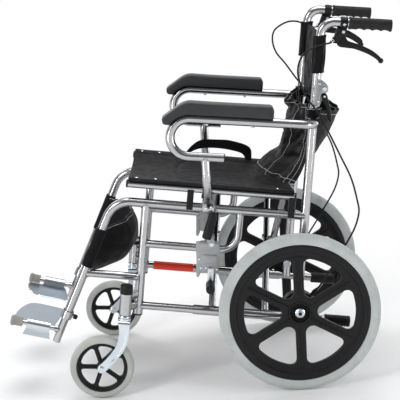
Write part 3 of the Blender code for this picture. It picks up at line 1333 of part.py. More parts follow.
def back_panel():
    """The loose lower back, which hangs from the uprights and rests on the seat."""
    centre = [(0.005, 0.691), (0.000, 0.655), (-0.004, 0.618), (-0.032, 0.575), (-0.062, 0.549),
              (-0.085, 0.517)]
    side = [(0.055, 0.700), (0.052, 0.668), (0.042, 0.624), (0.022, 0.580), (-0.004, 0.545),
            (-0.026, 0.513)]
    reach = FRAME_SPACING / 2 - FRAME_TUBE_R - 0.0006
    sheet = hung_cloth(centre, side, reach, 0.006, 12, 5)
    loops = []
    for sign in (-1, 1):
        y = sign * FRAME_SPACING / 2
        loops.append(rod(upright_point(PANEL_LOOP_LOW_Z, y), upright_point(PANEL_LOOP_HIGH_Z, y),
                         FRAME_TUBE_R + LOOP_CLOTH))
    panel = joined(sheet, *loops)
    for sign in (-1, 1):
        y = sign * FRAME_SPACING / 2
        panel = cut(panel, rod(upright_point(PANEL_LOOP_LOW_Z - 0.02, y),
                               upright_point(PANEL_LOOP_HIGH_Z + 0.02, y), round_hole(FRAME_TUBE_R)))
    return panel


def back_pocket():
    """The open pocket behind the lower back, its top corners against the panel's loops."""
    top_z = (PANEL_LOOP_LOW_Z + PANEL_LOOP_HIGH_Z) / 2
    reach = FRAME_SPACING / 2 - FRAME_TUBE_R - 0.0006
    beside = FRAME_SPACING / 2 - reach
    behind = math.sqrt((FRAME_TUBE_R + LOOP_CLOTH) ** 2 - beside ** 2) + CLOTH / 4 + CLEARANCE
    corner = upright_point(top_z)
    centre = [(0.138, 0.664), (0.122, 0.630), (0.105, 0.602), (0.085, 0.577), (0.070, 0.566)]
    side = [(corner.x + behind, top_z), (0.0730, 0.655), (0.0695, 0.622), (0.0645, 0.595),
            (0.0605, 0.572)]
    return hung_cloth(centre, side, reach, 0.004, 10, 4)


def calf_strap():
    """The calf strap: a wide band slung between two loops round the hangers."""
    loop_start, loop_end = 0.078, 0.181
    reach = FRAME_SPACING / 2 - FRAME_TUBE_R - 0.001

    def middle(u, v):
        y = -reach + 2 * reach * u
        inside = 1 - abs(y / reach) ** 2.2
        along_end = loop_start + 0.004 + (loop_end - loop_start - 0.008) * v
        along_mid = 0.050 + 0.180 * v
        sag = 0.058 + 0.200 * v - 0.241 * v * v
        point = HANGER_CORNER + HANGER_AXIS * (along_end + (along_mid - along_end) * inside)
        point += HANGER_NORMAL * (sag * inside)
        return point.x, y, point.z

    sheet = cloth(middle, 10, 6, CLOTH)
    loops = []
    bores = []
    for sign in (-1, 1):
        flip = Vector((0.0, 0.0 if sign < 0 else FRAME_SPACING, 0.0))
        start = HANGER_CORNER + HANGER_AXIS * loop_start + flip
        end = HANGER_CORNER + HANGER_AXIS * loop_end + flip
        loops.append(rod(start, end, FRAME_TUBE_R + LOOP_CLOTH))
        over = HANGER_AXIS * 0.01
        bores.append(rod(start - over, end + over, FRAME_TUBE_R + CLEARANCE))
    return cut(joined(sheet, *loops), *bores)


def centre_footprint():
    """Move the whole chair along X, so that its footprint is centred."""
    bpy.context.view_layer.update()
    graph = bpy.context.evaluated_depsgraph_get()
    reach = []
    for piece in bpy.data.objects:
        mesh = piece.evaluated_get(graph).to_mesh()
        reach += [(piece.matrix_world @ vertex.co).x for vertex in mesh.vertices]
    shift = -(min(reach) + max(reach)) / 2
    for piece in bpy.data.objects:
        piece.location.x += shift
    bpy.context.view_layer.update()
    print("chair moved along X by", round(shift, 6))


def build_chair():
    aluminium = paint("satin_aluminium", (0.72, 0.72, 0.73), 0.32, 1.0)
    zinc = paint("bright_zinc", (0.70, 0.76, 0.80), 0.28, 1.0)
    plastic = paint("black_plastic", (0.02, 0.02, 0.022), 0.45, 0.0)
    foam = paint("dark_moulded_foam", (0.045, 0.048, 0.052), 0.6, 0.0)
    rubber = paint("grey_tyre", (0.52, 0.53, 0.52), 0.7, 0.0)
    fabric = paint("black_cloth", (0.015, 0.015, 0.017), 0.85, 0.0)
    origin = AXLE

    place_pair(side_frame(), "side_frame", aluminium, origin)
    place_pair(tipping_cap(), "tipping_cap", plastic, origin)
    place_pair(seat_saddle(SADDLE_FRONT_S), "seat_saddle_front", plastic, origin)
    place_pair(seat_saddle(SADDLE_REAR_S), "seat_saddle_rear", plastic, origin)
    place_pair(armrest_frame(), "armrest_frame", aluminium, origin)
    place_pair(armrest_pad(), "armrest_pad", foam, origin)

    place_pair(wheel_tyre(REAR_WHEEL_R, REAR_TYRE_DEPTH, REAR_TYRE_WIDTH, REAR_HUB, WHEEL_STEPS),
               "rear_tyre", rubber, REAR_HUB)
    rear_rim = wheel_rim(REAR_HUB, REAR_WHEEL_R - REAR_TYRE_DEPTH - CLEARANCE, REAR_RIM_BAND,
                         REAR_RIM_WIDTH, (REAR_HUB_R, REAR_HUB_OUTER, REAR_HUB_INNER),
                         (REAR_SPOKES, REAR_SPOKE_WIDTH, REAR_SPOKE_THICKNESS),
                         REAR_AXLE_R + RUNNING_GAP, WHEEL_STEPS)
    place_pair(rear_rim, "rear_rim", plastic, REAR_HUB)
    place_pair(rear_axle(), "rear_axle", zinc, origin)
    place_pair(hub_brake(), "hub_brake", plastic, origin)

    stem = CASTER_TOP
    place_pair(caster_fork(), "caster_fork", zinc, stem)
    hub_half = FORK_INSIDE / 2 - RUNNING_GAP
    caster_rim = wheel_rim(CASTER_HUB, CASTER_WHEEL_R - CASTER_TYRE_DEPTH + 0.001,
                           CASTER_RIM_BAND, CASTER_RIM_WIDTH, (CASTER_HUB_R, hub_half, hub_half),
                           (CASTER_SPOKES, CASTER_SPOKE_WIDTH, CASTER_SPOKE_THICKNESS),
                           CASTER_AXLE_R + RUNNING_GAP, CASTER_STEPS)
    tread = wheel_tyre(CASTER_WHEEL_R, CASTER_TYRE_DEPTH, CASTER_TYRE_WIDTH, CASTER_HUB, CASTER_STEPS)
    place_pair(joined(tread, caster_rim), "caster_wheel", rubber, CASTER_HUB)

    left_foot = rail_point(0, BOTTOM_RAIL_H)
    centre_pivot = brace_middle(0.0)
    place(brace_arm(-1, *STRUTS_A), "brace_arm_a", aluminium, left_foot)
    place(brace_arm(1, *STRUTS_B), "brace_arm_b", aluminium, centre_pivot)
    for name, a, b in zip(("front", "rear"), STRUTS_A, STRUTS_B):
        place(pivot_bolt(a, b), "pivot_bolt_" + name, zinc, left_foot)
    place(seat_half(-1), "seat_sling_left", fabric, centre_pivot)
    place(joined(seat_half(1), lift_strap()), "seat_sling_right", fabric, left_foot)

    place_pair(back_post(), "back_post", aluminium, HINGE)
    place_pair(back_hinge_bracket(), "back_hinge_bracket", zinc, origin)
    place_pair(hinge_latch(), "hinge_latch", plastic, LATCH_PIVOT)
    place_pair(handle_grip(), "handle_grip", plastic, HINGE)
    place_pair(hand_brake_body(), "hand_brake_body", plastic, HINGE)
    place_pair(hand_brake_lever(), "hand_brake_lever", plastic, BRAKE_PIVOT)
    place_pair(hand_brake_lock(), "hand_brake_lock", plastic, BRAKE_PIVOT)
    place(brake_cable(LEFT_CABLE, -1), "brake_cable_left", plastic, origin)
    place(brake_cable(RIGHT_CABLE, 1), "brake_cable_right", plastic, Vector((0, -origin.y, origin.z)))

    place_pair(parking_brake_bracket(), "parking_brake_bracket", zinc, origin)
    place_pair(parking_brake_lever(), "parking_brake_lever", plastic, PARK_LEVER_PIVOT)
    place_pair(parking_brake_shoe(), "parking_brake_shoe", plastic, PARK_SHOE_PIVOT)
    place_pair(footrest_tube(), "footrest_tube", aluminium, HANGER_END)
    place_pair(footplate(), "footplate", zinc, ROD_START)

    place(back_sling(), "back_sling", fabric, HINGE)
    place(back_panel(), "back_panel", fabric, origin)
    place(back_pocket(), "back_pocket", fabric, origin)
    place(calf_strap(), "calf_strap", fabric, origin)
    centre_footprint()


for leftover in list(bpy.data.objects):
    bpy.data.objects.remove(leftover)
build_chair()
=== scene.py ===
"""A folding transit wheelchair, dressed on its CAD frame for the photograph's view.

Metres, +Z up. The chair faces -X, and the user's left side, at -Y, faces the camera.
"""

import json
import math

import bmesh
import bpy
from mathutils import Matrix, Vector, geometry, noise

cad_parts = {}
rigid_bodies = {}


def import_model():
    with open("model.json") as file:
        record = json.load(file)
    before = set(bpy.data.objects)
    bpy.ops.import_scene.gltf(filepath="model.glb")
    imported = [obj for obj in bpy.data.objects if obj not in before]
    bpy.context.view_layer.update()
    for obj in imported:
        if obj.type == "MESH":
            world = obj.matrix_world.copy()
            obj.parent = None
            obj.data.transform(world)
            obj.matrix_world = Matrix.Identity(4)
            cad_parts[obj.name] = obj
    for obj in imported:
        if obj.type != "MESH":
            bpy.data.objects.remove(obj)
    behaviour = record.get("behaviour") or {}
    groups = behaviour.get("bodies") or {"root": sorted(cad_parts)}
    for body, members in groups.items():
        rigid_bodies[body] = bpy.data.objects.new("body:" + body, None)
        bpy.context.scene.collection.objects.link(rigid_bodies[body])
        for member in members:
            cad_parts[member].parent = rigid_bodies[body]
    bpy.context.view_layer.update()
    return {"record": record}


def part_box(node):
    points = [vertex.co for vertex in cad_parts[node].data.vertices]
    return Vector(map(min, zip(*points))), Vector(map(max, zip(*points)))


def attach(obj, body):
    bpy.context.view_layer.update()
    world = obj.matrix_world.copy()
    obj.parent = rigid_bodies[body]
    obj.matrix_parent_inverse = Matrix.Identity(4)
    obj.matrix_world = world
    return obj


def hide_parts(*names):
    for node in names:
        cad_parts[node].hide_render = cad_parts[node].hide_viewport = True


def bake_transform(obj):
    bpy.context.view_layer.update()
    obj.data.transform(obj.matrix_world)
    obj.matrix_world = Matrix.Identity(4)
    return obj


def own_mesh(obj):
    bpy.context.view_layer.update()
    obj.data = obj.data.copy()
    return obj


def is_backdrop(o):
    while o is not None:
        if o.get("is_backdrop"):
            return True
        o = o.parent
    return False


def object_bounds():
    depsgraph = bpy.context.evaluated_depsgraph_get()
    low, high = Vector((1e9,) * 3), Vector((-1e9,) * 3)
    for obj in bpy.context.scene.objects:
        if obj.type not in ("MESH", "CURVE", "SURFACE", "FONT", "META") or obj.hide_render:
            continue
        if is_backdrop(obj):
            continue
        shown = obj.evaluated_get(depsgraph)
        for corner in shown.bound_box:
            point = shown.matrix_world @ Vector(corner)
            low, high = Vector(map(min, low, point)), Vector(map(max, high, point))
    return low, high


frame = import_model()


# Camera
# The photograph's viewpoint: square to the left side, a little above the armrests, with a
# long lens. The pitch and the small roll were solved from the wheels and the rails.

wheel_low, wheel_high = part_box("rear_tyre_left")
AXLE_X = (wheel_low[0] + wheel_high[0]) / 2

yaw, pitch, roll = -0.009184389, 0.223440741, 0.059484197
ahead = Vector((math.sin(yaw) * math.cos(pitch), math.cos(yaw) * math.cos(pitch),
                -math.sin(pitch)))
level = Vector((math.cos(yaw), -math.sin(yaw), 0.0))
plumb = ahead.cross(level)
across = level * math.cos(roll) + plumb * math.sin(roll)
below = plumb * math.cos(roll) - level * math.sin(roll)
viewpoint = Vector((AXLE_X - 0.201246, -3.298841, 1.187080))

camera = bpy.data.objects.new("camera", bpy.data.cameras.new("camera"))
bpy.context.collection.objects.link(camera)
FILM_WIDTH, PHOTO_WIDTH, FOCAL_PIXELS = 36.0, 400, 1290
camera.data.sensor_width = FILM_WIDTH
camera.data.lens = FILM_WIDTH * FOCAL_PIXELS / PHOTO_WIDTH
turn = Matrix((across, -below, -ahead)).transposed()
camera.matrix_world = Matrix.Translation(viewpoint) @ turn.to_4x4()
bpy.context.scene.camera = camera
bpy.context.scene.view_settings.view_transform = "Standard"


# Floor, light and world
# A white floor under large soft lamps. Past the chair's shadow the floor is plain white for
# the camera and for reflections. The sky is white at the horizon and grey overhead.

class Wire:
    """A node's output in a tree, written into sums as a number is."""

    def __init__(self, tree, socket):
        self.tree, self.socket = tree, socket

    def sum(self, operation, *values):
        """One maths node on the given values."""
        names = range(len(values))
        return self.tree.add("ShaderNodeMath", {"operation": operation}, dict(zip(names, values)))

    def __add__(self, other):
        return self.sum("ADD", self, other)

    def __sub__(self, other):
        return self.sum("SUBTRACT", self, other)

    def __rsub__(self, other):
        return self.sum("SUBTRACT", other, self)

    def __mul__(self, other):
        return self.sum("MULTIPLY", self, other)

    def __truediv__(self, other):
        return self.sum("DIVIDE", self, other)

    def sine(self):
        return self.sum("SINE", self)

    __radd__ = __add__
    __rmul__ = __mul__


class Tree:
    """A shader or geometry tree, with one way to add a node to it."""

    def __init__(self, tree):
        self.tree = tree

    def add(self, kind, settings, sockets, output=0):
        """A new node; each socket is given a number or another node's output."""
        node = self.tree.nodes.new(kind)
        for key, value in settings.items():
            if key == "stops":
                ramp = node.color_ramp.elements
                while len(ramp) < len(value):
                    ramp.new(0.5)
                for stop, (place, colour) in zip(ramp, value):
                    stop.position, stop.color = place, (*colour, 1.0)
            else:
                setattr(node, key, value)
        for key, value in sockets.items():
            if isinstance(value, Wire):
                self.tree.links.new(value.socket, node.inputs[key])
            else:
                node.inputs[key].default_value = value
        return Wire(self, node.outputs[output])


def opaque(value):
    """A colour with its alpha; anything else as it is."""
    return (*value, 1.0) if isinstance(value, tuple) else value


class Finish(Tree):
    """A material on one Principled shader, its patterns in Object coordinates."""

    def __init__(self, name, **shader):
        self.material = bpy.data.materials.new(name)
        self.material.use_nodes = True
        super().__init__(self.material.node_tree)
        self.shader = self.tree.nodes["Principled BSDF"]
        self.place = self.add("ShaderNodeTexCoord", {}, {}, "Object")
        for key, value in shader.items():
            self.set(key.replace("_", " ").title().replace("Ior", "IOR"), value)

    def set(self, socket, value):
        """Give a value or a pattern to a socket of the shader."""
        if isinstance(value, Wire):
            self.tree.links.new(value.socket, self.shader.inputs[socket])
        else:
            self.shader.inputs[socket].default_value = opaque(value)

    def noise(self, scale, detail):
        """A random pattern; the scale is in grains to a metre."""
        sockets = {"Vector": self.place, "Scale": scale, "Detail": detail, "Roughness": 0.55}
        return self.add("ShaderNodeTexNoise", {}, sockets)

    def blend(self, share, first, second):
        """The first colour where the share is 0, and the second one where it is 1."""
        settings = {"data_type": "RGBA", "clamp_factor": True}
        colours = {0: share, 6: opaque(first), 7: opaque(second)}
        return self.add("ShaderNodeMix", settings, colours, 2)

    def range(self, value, low, high, to_low=0.0, to_high=1.0):
        """A value from one range laid softly over another."""
        sockets = {"Value": value, "From Min": low, "From Max": high,
                   "To Min": to_low, "To Max": to_high}
        return self.add("ShaderNodeMapRange", {"interpolation_type": "SMOOTHSTEP"}, sockets)

    def relief(self, height, depth, strength):
        """Bumps of a pattern on the surface, their depth in metres."""
        sockets = {"Height": height, "Distance": depth, "Strength": strength}
        self.set("Normal", self.add("ShaderNodeBump", {}, sockets))


floor_paint = Finish("floor_white", base_color=(0.93, 0.93, 0.93), roughness=0.9)
from_chair = floor_paint.add("ShaderNodeVectorMath", {"operation": "LENGTH"},
                             {0: floor_paint.place}, "Value")
kinds = [floor_paint.add("ShaderNodeLightPath", {}, {}, ray)
         for ray in ("Is Camera Ray", "Is Glossy Ray", "Is Transmission Ray")]
seen = kinds[0].sum("MAXIMUM", kinds[0], kinds[1].sum("MAXIMUM", kinds[1], kinds[2]))
SHADOW_REACH, WHITE_REACH = 0.75, 1.35
plain = floor_paint.range(from_chair, SHADOW_REACH, WHITE_REACH) * seen
white = floor_paint.add("ShaderNodeEmission", {}, {"Color": (1, 1, 1, 1), "Strength": 1.0})
real = Wire(floor_paint, floor_paint.shader.outputs[0])
mixed = floor_paint.add("ShaderNodeMixShader", {}, {0: plain, 1: real, 2: white})
floor_paint.tree.links.new(mixed.socket, floor_paint.tree.nodes["Material Output"].inputs[0])

FLOOR_REACH, FLOOR_GAP = 60.0, 0.0004
floor_mesh = bpy.data.meshes.new("floor")
corners = [(FLOOR_REACH * x, FLOOR_REACH * y, 0) for x, y in ((-1, -1), (1, -1), (1, 1), (-1, 1))]
floor_mesh.from_pydata(corners, [], [(0, 1, 2, 3)])
floor_mesh.materials.append(floor_paint.material)
floor = bpy.data.objects.new("floor", floor_mesh)
bpy.context.collection.objects.link(floor)
floor.location.z = -FLOOR_GAP
floor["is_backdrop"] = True

sky = bpy.data.worlds.new("soft_sky")
sky.use_nodes = True
bpy.context.scene.world = sky
sky_tree = Tree(sky.node_tree)
direction = sky_tree.add("ShaderNodeTexCoord", {}, {}, "Generated")
height = sky_tree.add("ShaderNodeSeparateXYZ", {}, {0: direction}, "Z")
depth = sky_tree.add("ShaderNodeSeparateXYZ", {}, {0: direction}, "Y")
front_sky = sky_tree.add("ShaderNodeValToRGB", {"stops": [
    (0.0, (1.0, 1.0, 1.0)), (0.02, (0.75, 0.75, 0.76)), (0.09, (0.11, 0.112, 0.12)),
    (0.50, (0.12, 0.122, 0.13)), (0.80, (0.45, 0.45, 0.46))]}, {"Fac": height})
rear_sky = sky_tree.add("ShaderNodeValToRGB", {"stops": [
    (0.0, (1.0, 1.0, 1.0)), (0.30, (0.85, 0.86, 0.88)), (0.80, (0.45, 0.45, 0.46))]},
    {"Fac": height})
behind = sky_tree.add("ShaderNodeMapRange", {},
                      {"Value": depth, "From Min": -0.10, "From Max": 0.35})
shade = sky_tree.add("ShaderNodeMix", {"data_type": "RGBA"},
                     {0: behind, 6: front_sky, 7: rear_sky}, 2)
backdrop = sky_tree.tree.nodes["Background"]
sky_tree.tree.links.new(shade.socket, backdrop.inputs["Color"])
backdrop.inputs["Strength"].default_value = 1.0


def lamp(name, place, aim, size, power):
    """A square soft lamp."""
    light = bpy.data.lights.new(name, "AREA")
    light.shape = "RECTANGLE"
    light.size, light.size_y = size
    light.energy = power
    holder = bpy.data.objects.new(name, light)
    bpy.context.collection.objects.link(holder)
    holder.location = place
    holder.visible_camera = False
    holder.rotation_mode = "QUATERNION"
    holder.rotation_quaternion = (Vector(aim) - Vector(place)).to_track_quat("-Z", "Y")


lamp("key_lamp", (-2.3, -2.6, 2.5), (0, 0, 0.35), (1.4, 1.4), 44)
lamp("top_lamp", (0.2, 0.2, 3.4), (0, 0, 0.3), (2.0, 2.0), 52)
lamp("back_lamp", (-1.6, 2.9, 1.9), (0, 0, 0.4), (1.0, 1.6), 26)
lamp("left_strip", (-1.75, -1.55, 0.62), (0, 0, 0.45), (0.22, 1.15), 9)
lamp("right_strip", (1.95, -1.30, 0.62), (0, 0, 0.45), (0.30, 1.15), 11)
lamp("edge_strip", (2.1, 1.35, 0.62), (0, 0, 0.45), (0.30, 1.15), 7)


# Side frames
# Each side frame is welded from round aluminium tube with a satin polish: two rails, two
# uprights, the bent leg tube, the J-shaped inner tube and the short cross tube.

X_AXIS, Y_AXIS, Z_AXIS = Vector((1, 0, 0)), Vector((0, 1, 0)), Vector((0, 0, 1))
AXLE_Z = (wheel_low[2] + wheel_high[2]) / 2
RAIL_SLOPE = math.radians(8.05)
FRAME_HALF = 0.190
FRAME_Y = -FRAME_HALF
TUBE_R, LIGHT_R = 0.0110, 0.0095
BOTTOM_H, CROSS_H, MIDDLE_H, UPPER_H = 0.161, 0.2345, 0.322, 0.425
FRONT_S, FRONT_FOOT = -0.4266, 0.0214
LEAN = math.radians(7.05)
HANGER_ANGLE = math.radians(64.3)
HANGER_S, HANGER_BEND, HANGER_LENGTH = -0.5081, 0.060, 0.3265
HINGE_Z = 0.741
J_TUBE_S, J_TUBE_BEND, TIP_LENGTH = -0.193, 0.041, 0.132


def rail_point(s, h, y=FRAME_Y):
    """A point of the sloping side frame: s back along the rails, h square to them."""
    return Vector((AXLE_X + s * math.cos(RAIL_SLOPE) + h * math.sin(RAIL_SLOPE), y,
                   h * math.cos(RAIL_SLOPE) - s * math.sin(RAIL_SLOPE)))


def upright_point(z, y=FRAME_Y):
    """A point of the leaning rear upright, whose line passes through the axle."""
    return Vector((AXLE_X + (z - AXLE_Z) * math.tan(LEAN), y, z))


RAIL = Vector((math.cos(RAIL_SLOPE), 0, -math.sin(RAIL_SLOPE)))
SQUARE = Vector((math.sin(RAIL_SLOPE), 0, math.cos(RAIL_SLOPE)))
UPRIGHT = Vector((math.sin(LEAN), 0, math.cos(LEAN)))
LEG = Vector((-math.cos(HANGER_ANGLE), 0, -math.sin(HANGER_ANGLE)))
LEG_CORNER = rail_point(HANGER_S, UPPER_H)
LEG_END = LEG_CORNER + LEG * HANGER_LENGTH


def upright_at(h):
    """Where the rear upright crosses the rail at height h."""
    start = rail_point(0, 0)
    foot = upright_point(AXLE_Z)
    along = (h - SQUARE.dot(foot - start)) / SQUARE.dot(UPRIGHT)
    return foot + UPRIGHT * along


def leg_at(h):
    """Where the leg tube crosses height h."""
    return LEG_CORNER + LEG * ((h - UPPER_H) / SQUARE.dot(LEG))


def square_to(axis, hint):
    """Two directions square to an axis, the first nearest to the hint."""
    first = (hint - axis * hint.dot(axis)).normalized()
    return first, axis.cross(first)


def skin(shape, rings, closed=False):
    """Faces between rings of corners; the ends of an open run are capped."""
    pairs = list(zip(rings, rings[1:])) + ([(rings[-1], rings[0])] if closed else [])
    for low, high in pairs:
        count = max(len(low), len(high))
        for k in range(count):
            after = (k + 1) % count
            corners = [low[k % len(low)], low[after % len(low)],
                       high[after % len(high)], high[k % len(high)]]
            shape.faces.new(list(dict.fromkeys(corners)))
    if not closed:
        for ring in (rings[0], rings[-1]):
            if len(ring) > 2:
                shape.faces.new(ring)


def sweep(shape, path, radius, sides=28, thin=None, hint=Y_AXIS, centre=None):
    """Run a round section along a path. With a centre, the path is a closed loop round it."""
    count = len(path)
    wide = radius if isinstance(radius, list) else [radius] * count
    deep = thin or wide
    rings = []
    for k, point in enumerate(path):
        if centre is not None:
            axis = (path[(k + 1) % count] - path[k - 1]).normalized()
            hint = point - centre
        else:
            onward = path[min(k + 1, count - 1)] - point
            backward = point - path[max(k - 1, 0)]
            axis = (onward.normalized() + backward.normalized()).normalized()
        first, second = square_to(axis, hint)
        hint = first
        ring = []
        for step in range(sides):
            angle = 2 * math.pi * step / sides
            reach = first * deep[k] * math.cos(angle) + second * wide[k] * math.sin(angle)
            ring.append(shape.verts.new(point + reach))
        rings.append(ring)
    skin(shape, rings, closed=centre is not None)


def rounded(corners, radii):
    """A path through corners, each inner corner rounded by an arc."""
    step = math.radians(7)
    path = [Vector(corners[0])]
    for before, corner, after, radius in zip(corners, corners[1:], corners[2:], radii):
        corner = Vector(corner)
        back = (Vector(before) - corner).normalized()
        on = (Vector(after) - corner).normalized()
        bend = math.pi - back.angle(on)
        centre = corner + (back + on).normalized() * radius / math.cos(bend / 2)
        start = corner + back * radius * math.tan(bend / 2) - centre
        normal = back.cross(on).normalized()
        count = max(2, round(bend / step))
        path += [centre + Matrix.Rotation(-bend * k / count, 3, normal) @ start
                 for k in range(count + 1)]
    return path + [Vector(corners[-1])]


def weld(shape, branch, branch_axis, branch_r, run_axis, run_r):
    """The rippled bead round a tube, where it meets the wall of another one."""
    bead, ripple = 0.0016, 0.16
    first, second = square_to(branch_axis, run_axis)
    across_run = branch_axis - run_axis * branch_axis.dot(run_axis)
    loop = []
    steps = 52
    for k in range(steps):
        angle = 2 * math.pi * k / steps
        out = (first * math.cos(angle) + second * math.sin(angle)) * branch_r
        side = out - run_axis * out.dot(run_axis)
        a, b, c = across_run.length_squared, side.dot(across_run), side.length_squared - run_r ** 2
        along = (-b + math.sqrt(max(0.0, b * b - a * c))) / a
        loop.append(branch + out + branch_axis * along)
    middle = sum(loop, Vector()) / steps
    sweep(shape, loop, [bead * (1.0 + ripple * (k % 2)) for k in range(steps)], 8, centre=middle)


SLOTS = [entry["slot"] for entry in frame["record"]["materials"]]


def piece(name, shape, finish, body, stands_for=(), soften=0.0, crease=35, slot=None):
    """Make a piece from its shape. It rides on its body, and the CAD nodes given are hidden."""
    bmesh.ops.remove_doubles(shape, verts=shape.verts, dist=1e-6)
    bmesh.ops.recalc_face_normals(shape, faces=shape.faces)
    mesh = bpy.data.meshes.new(name)
    shape.to_mesh(mesh)
    shape.free()
    mesh.materials.append(finish.material)
    mesh.shade_smooth()
    mesh.set_sharp_from_angle(angle=math.radians(crease))
    taken = name in bpy.data.objects
    thing = bpy.data.objects.new(name + "_finished" if taken else name, mesh)
    bpy.context.collection.objects.link(thing)
    if soften:
        edge = thing.modifiers.new("soft_edge", "BEVEL")
        edge.width, edge.segments = soften, 2
        edge.limit_method, edge.angle_limit = "ANGLE", math.radians(38)
        edge.use_clamp_overlap = True
    if body:
        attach(thing, body)
    if stands_for:
        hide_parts(*stands_for)
    slot = slot or finish.material.name
    slot in SLOTS
    return thing


def pair(name, shape, finish, body, stands_for=(), **more):
    """Make a left piece, and its mirror image on the right."""
    twin = shape.copy()
    bmesh.ops.scale(twin, vec=(1, -1, 1), verts=twin.verts)
    made = []
    for side, half in (("left", shape), ("right", twin)):
        nodes = [node + "_" + side for node in stands_for]
        made.append(piece(name + "_" + side, half, finish, body.format(side), nodes, **more))
    return made


aluminium = Finish("satin_aluminium", metallic=1.0, specular_tint=(0.10, 0.10, 0.12))
smear = aluminium.noise(34.0, 4.0)
aluminium.set("Base Color", aluminium.blend(smear, (0.47, 0.47, 0.48), (0.57, 0.57, 0.58)))
aluminium.set("Roughness", aluminium.range(aluminium.noise(90.0, 2.0), 0.25, 0.75, 0.16, 0.24))
aluminium.relief(aluminium.noise(1500.0, 2.0), 0.00003, 0.5)

frame_shape = bmesh.new()
upper_start = upright_at(UPPER_H)
sweep(frame_shape, rounded([upper_start, LEG_CORNER, LEG_END], [HANGER_BEND]), TUBE_R)
front_low = rail_point(FRONT_S, BOTTOM_H - FRONT_FOOT)
sweep(frame_shape, [front_low, rail_point(FRONT_S, UPPER_H)], TUBE_R)
j_path = rounded([rail_point(FRONT_S, MIDDLE_H), rail_point(J_TUBE_S, MIDDLE_H),
                  rail_point(J_TUBE_S, UPPER_H)], [J_TUBE_BEND])
sweep(frame_shape, j_path, LIGHT_R)
rear_low = upright_at(BOTTOM_H)
TIP_END = rear_low + RAIL * TIP_LENGTH
sweep(frame_shape, [rail_point(FRONT_S, BOTTOM_H), TIP_END], LIGHT_R)
sweep(frame_shape, [rear_low, upright_point(HINGE_Z + 0.0004)], TUBE_R)
sweep(frame_shape, [leg_at(CROSS_H), rail_point(FRONT_S, CROSS_H)], LIGHT_R)
for start, axis, wide, run, run_r in (
        (rail_point(FRONT_S, UPPER_H), -SQUARE, TUBE_R, RAIL, TUBE_R),
        (rail_point(J_TUBE_S, UPPER_H), -SQUARE, LIGHT_R, RAIL, TUBE_R),
        (rail_point(FRONT_S, MIDDLE_H), RAIL, LIGHT_R, SQUARE, TUBE_R),
        (rail_point(FRONT_S, BOTTOM_H), RAIL, LIGHT_R, SQUARE, TUBE_R),
        (rail_point(FRONT_S, CROSS_H), -RAIL, LIGHT_R, SQUARE, TUBE_R),
        (leg_at(CROSS_H), RAIL, LIGHT_R, LEG, TUBE_R),
        (upper_start, -RAIL, TUBE_R, UPRIGHT, TUBE_R),
        (rear_low, -RAIL, LIGHT_R, UPRIGHT, TUBE_R),
        (rear_low, UPRIGHT, TUBE_R, RAIL, LIGHT_R)):
    weld(frame_shape, start, axis, wide, run, run_r)
pair("side_frame", frame_shape, aluminium, "{}_frame", ["side_frame"])


# Plugs and tread cap
# Black plastic plugs close the open tube ends. A ribbed cap gives the helper's foot a hold on
# the tipping lever.

plastic = Finish("black_plastic", specular_ior_level=0.22)
worn = plastic.noise(60.0, 3.0)
plastic.set("Base Color", plastic.blend(worn, (0.007, 0.007, 0.008), (0.014, 0.014, 0.015)))
plastic.set("Roughness", plastic.range(plastic.noise(240.0, 2.0), 0.3, 0.7, 0.34, 0.46))
plastic.relief(plastic.noise(2600.0, 1.0), 0.00005, 0.6)


def turned(shape, profile, origin, axis, steps=48):
    """Turn an outline of (radius, distance along the axis) about the axis."""
    axis = axis.normalized()
    first, second = square_to(axis, Z_AXIS if abs(axis.dot(Y_AXIS)) > 0.9 else Y_AXIS)
    outward = [first * math.cos(a) + second * math.sin(a)
               for a in (2 * math.pi * k / steps for k in range(steps))]
    rings = []
    for radius, along in profile:
        centre = origin + axis * along
        if radius == 0:
            rings.append([shape.verts.new(centre)])
        else:
            rings.append([shape.verts.new(centre + radius * way) for way in outward])
    skin(shape, rings, closed=profile[0][0] > 0)


cap_shape = bmesh.new()
cap_profile = [(0.0098, -0.062), (0.0130, -0.062), (0.0137, -0.0605)]
RIB_R, RIB_GROOVE_R, RIB_PITCH = 0.0142, 0.0134, 0.006
for rib in range(9):
    cap_profile += [(RIB_R, -0.058 + rib * RIB_PITCH), (RIB_R, -0.0555 + rib * RIB_PITCH),
                    (RIB_GROOVE_R, -0.0549 + rib * RIB_PITCH),
                    (RIB_GROOVE_R, -0.0526 + rib * RIB_PITCH)]
cap_profile += [(RIB_R, -0.0030), (0.0140, 0.0008), (0.0124, 0.0029), (0.0080, 0.0035), (0, 0.0035)]
turned(cap_shape, [(0, -0.055), (0.0098, -0.055)] + cap_profile, TIP_END, RAIL, 40)
pair("tipping_cap", cap_shape, plastic, "{}_frame", ["tipping_cap"])

plug_shape = bmesh.new()
turned(plug_shape, [(0, -0.002), (0.0105, -0.002), (0.0113, 0.0), (0.0113, 0.002),
                    (0.0098, 0.0034), (0, 0.0036)], front_low, -SQUARE, 32)
pair("front_upright_plug", plug_shape, plastic, "{}_frame")


# Rear wheels
# Solid pale grey tyres on moulded black wheels with six ribbed spokes. Each wheel turns on a
# steel axle bolt, beside the black hub brake that is fixed to the frame.

TYRE_R, RIM_R, WHEEL_Y = 0.2000, 0.1738, -0.263
WHEEL = Vector((AXLE_X, WHEEL_Y, AXLE_Z))


def tyre_finish(name, dark, pale):
    """Fine-grained tyre rubber with a little dust."""
    rubber = Finish(name, roughness=0.62, specular_ior_level=0.2)
    dust = rubber.noise(18.0, 5.0)
    rubber.set("Base Color", rubber.blend(rubber.range(dust, 0.35, 0.7), dark, pale))
    rubber.relief(rubber.noise(1100.0, 3.0), 0.0001, 0.6)
    return rubber


grey_tyre = tyre_finish("grey_tyre", (0.46, 0.49, 0.485), (0.54, 0.57, 0.56))


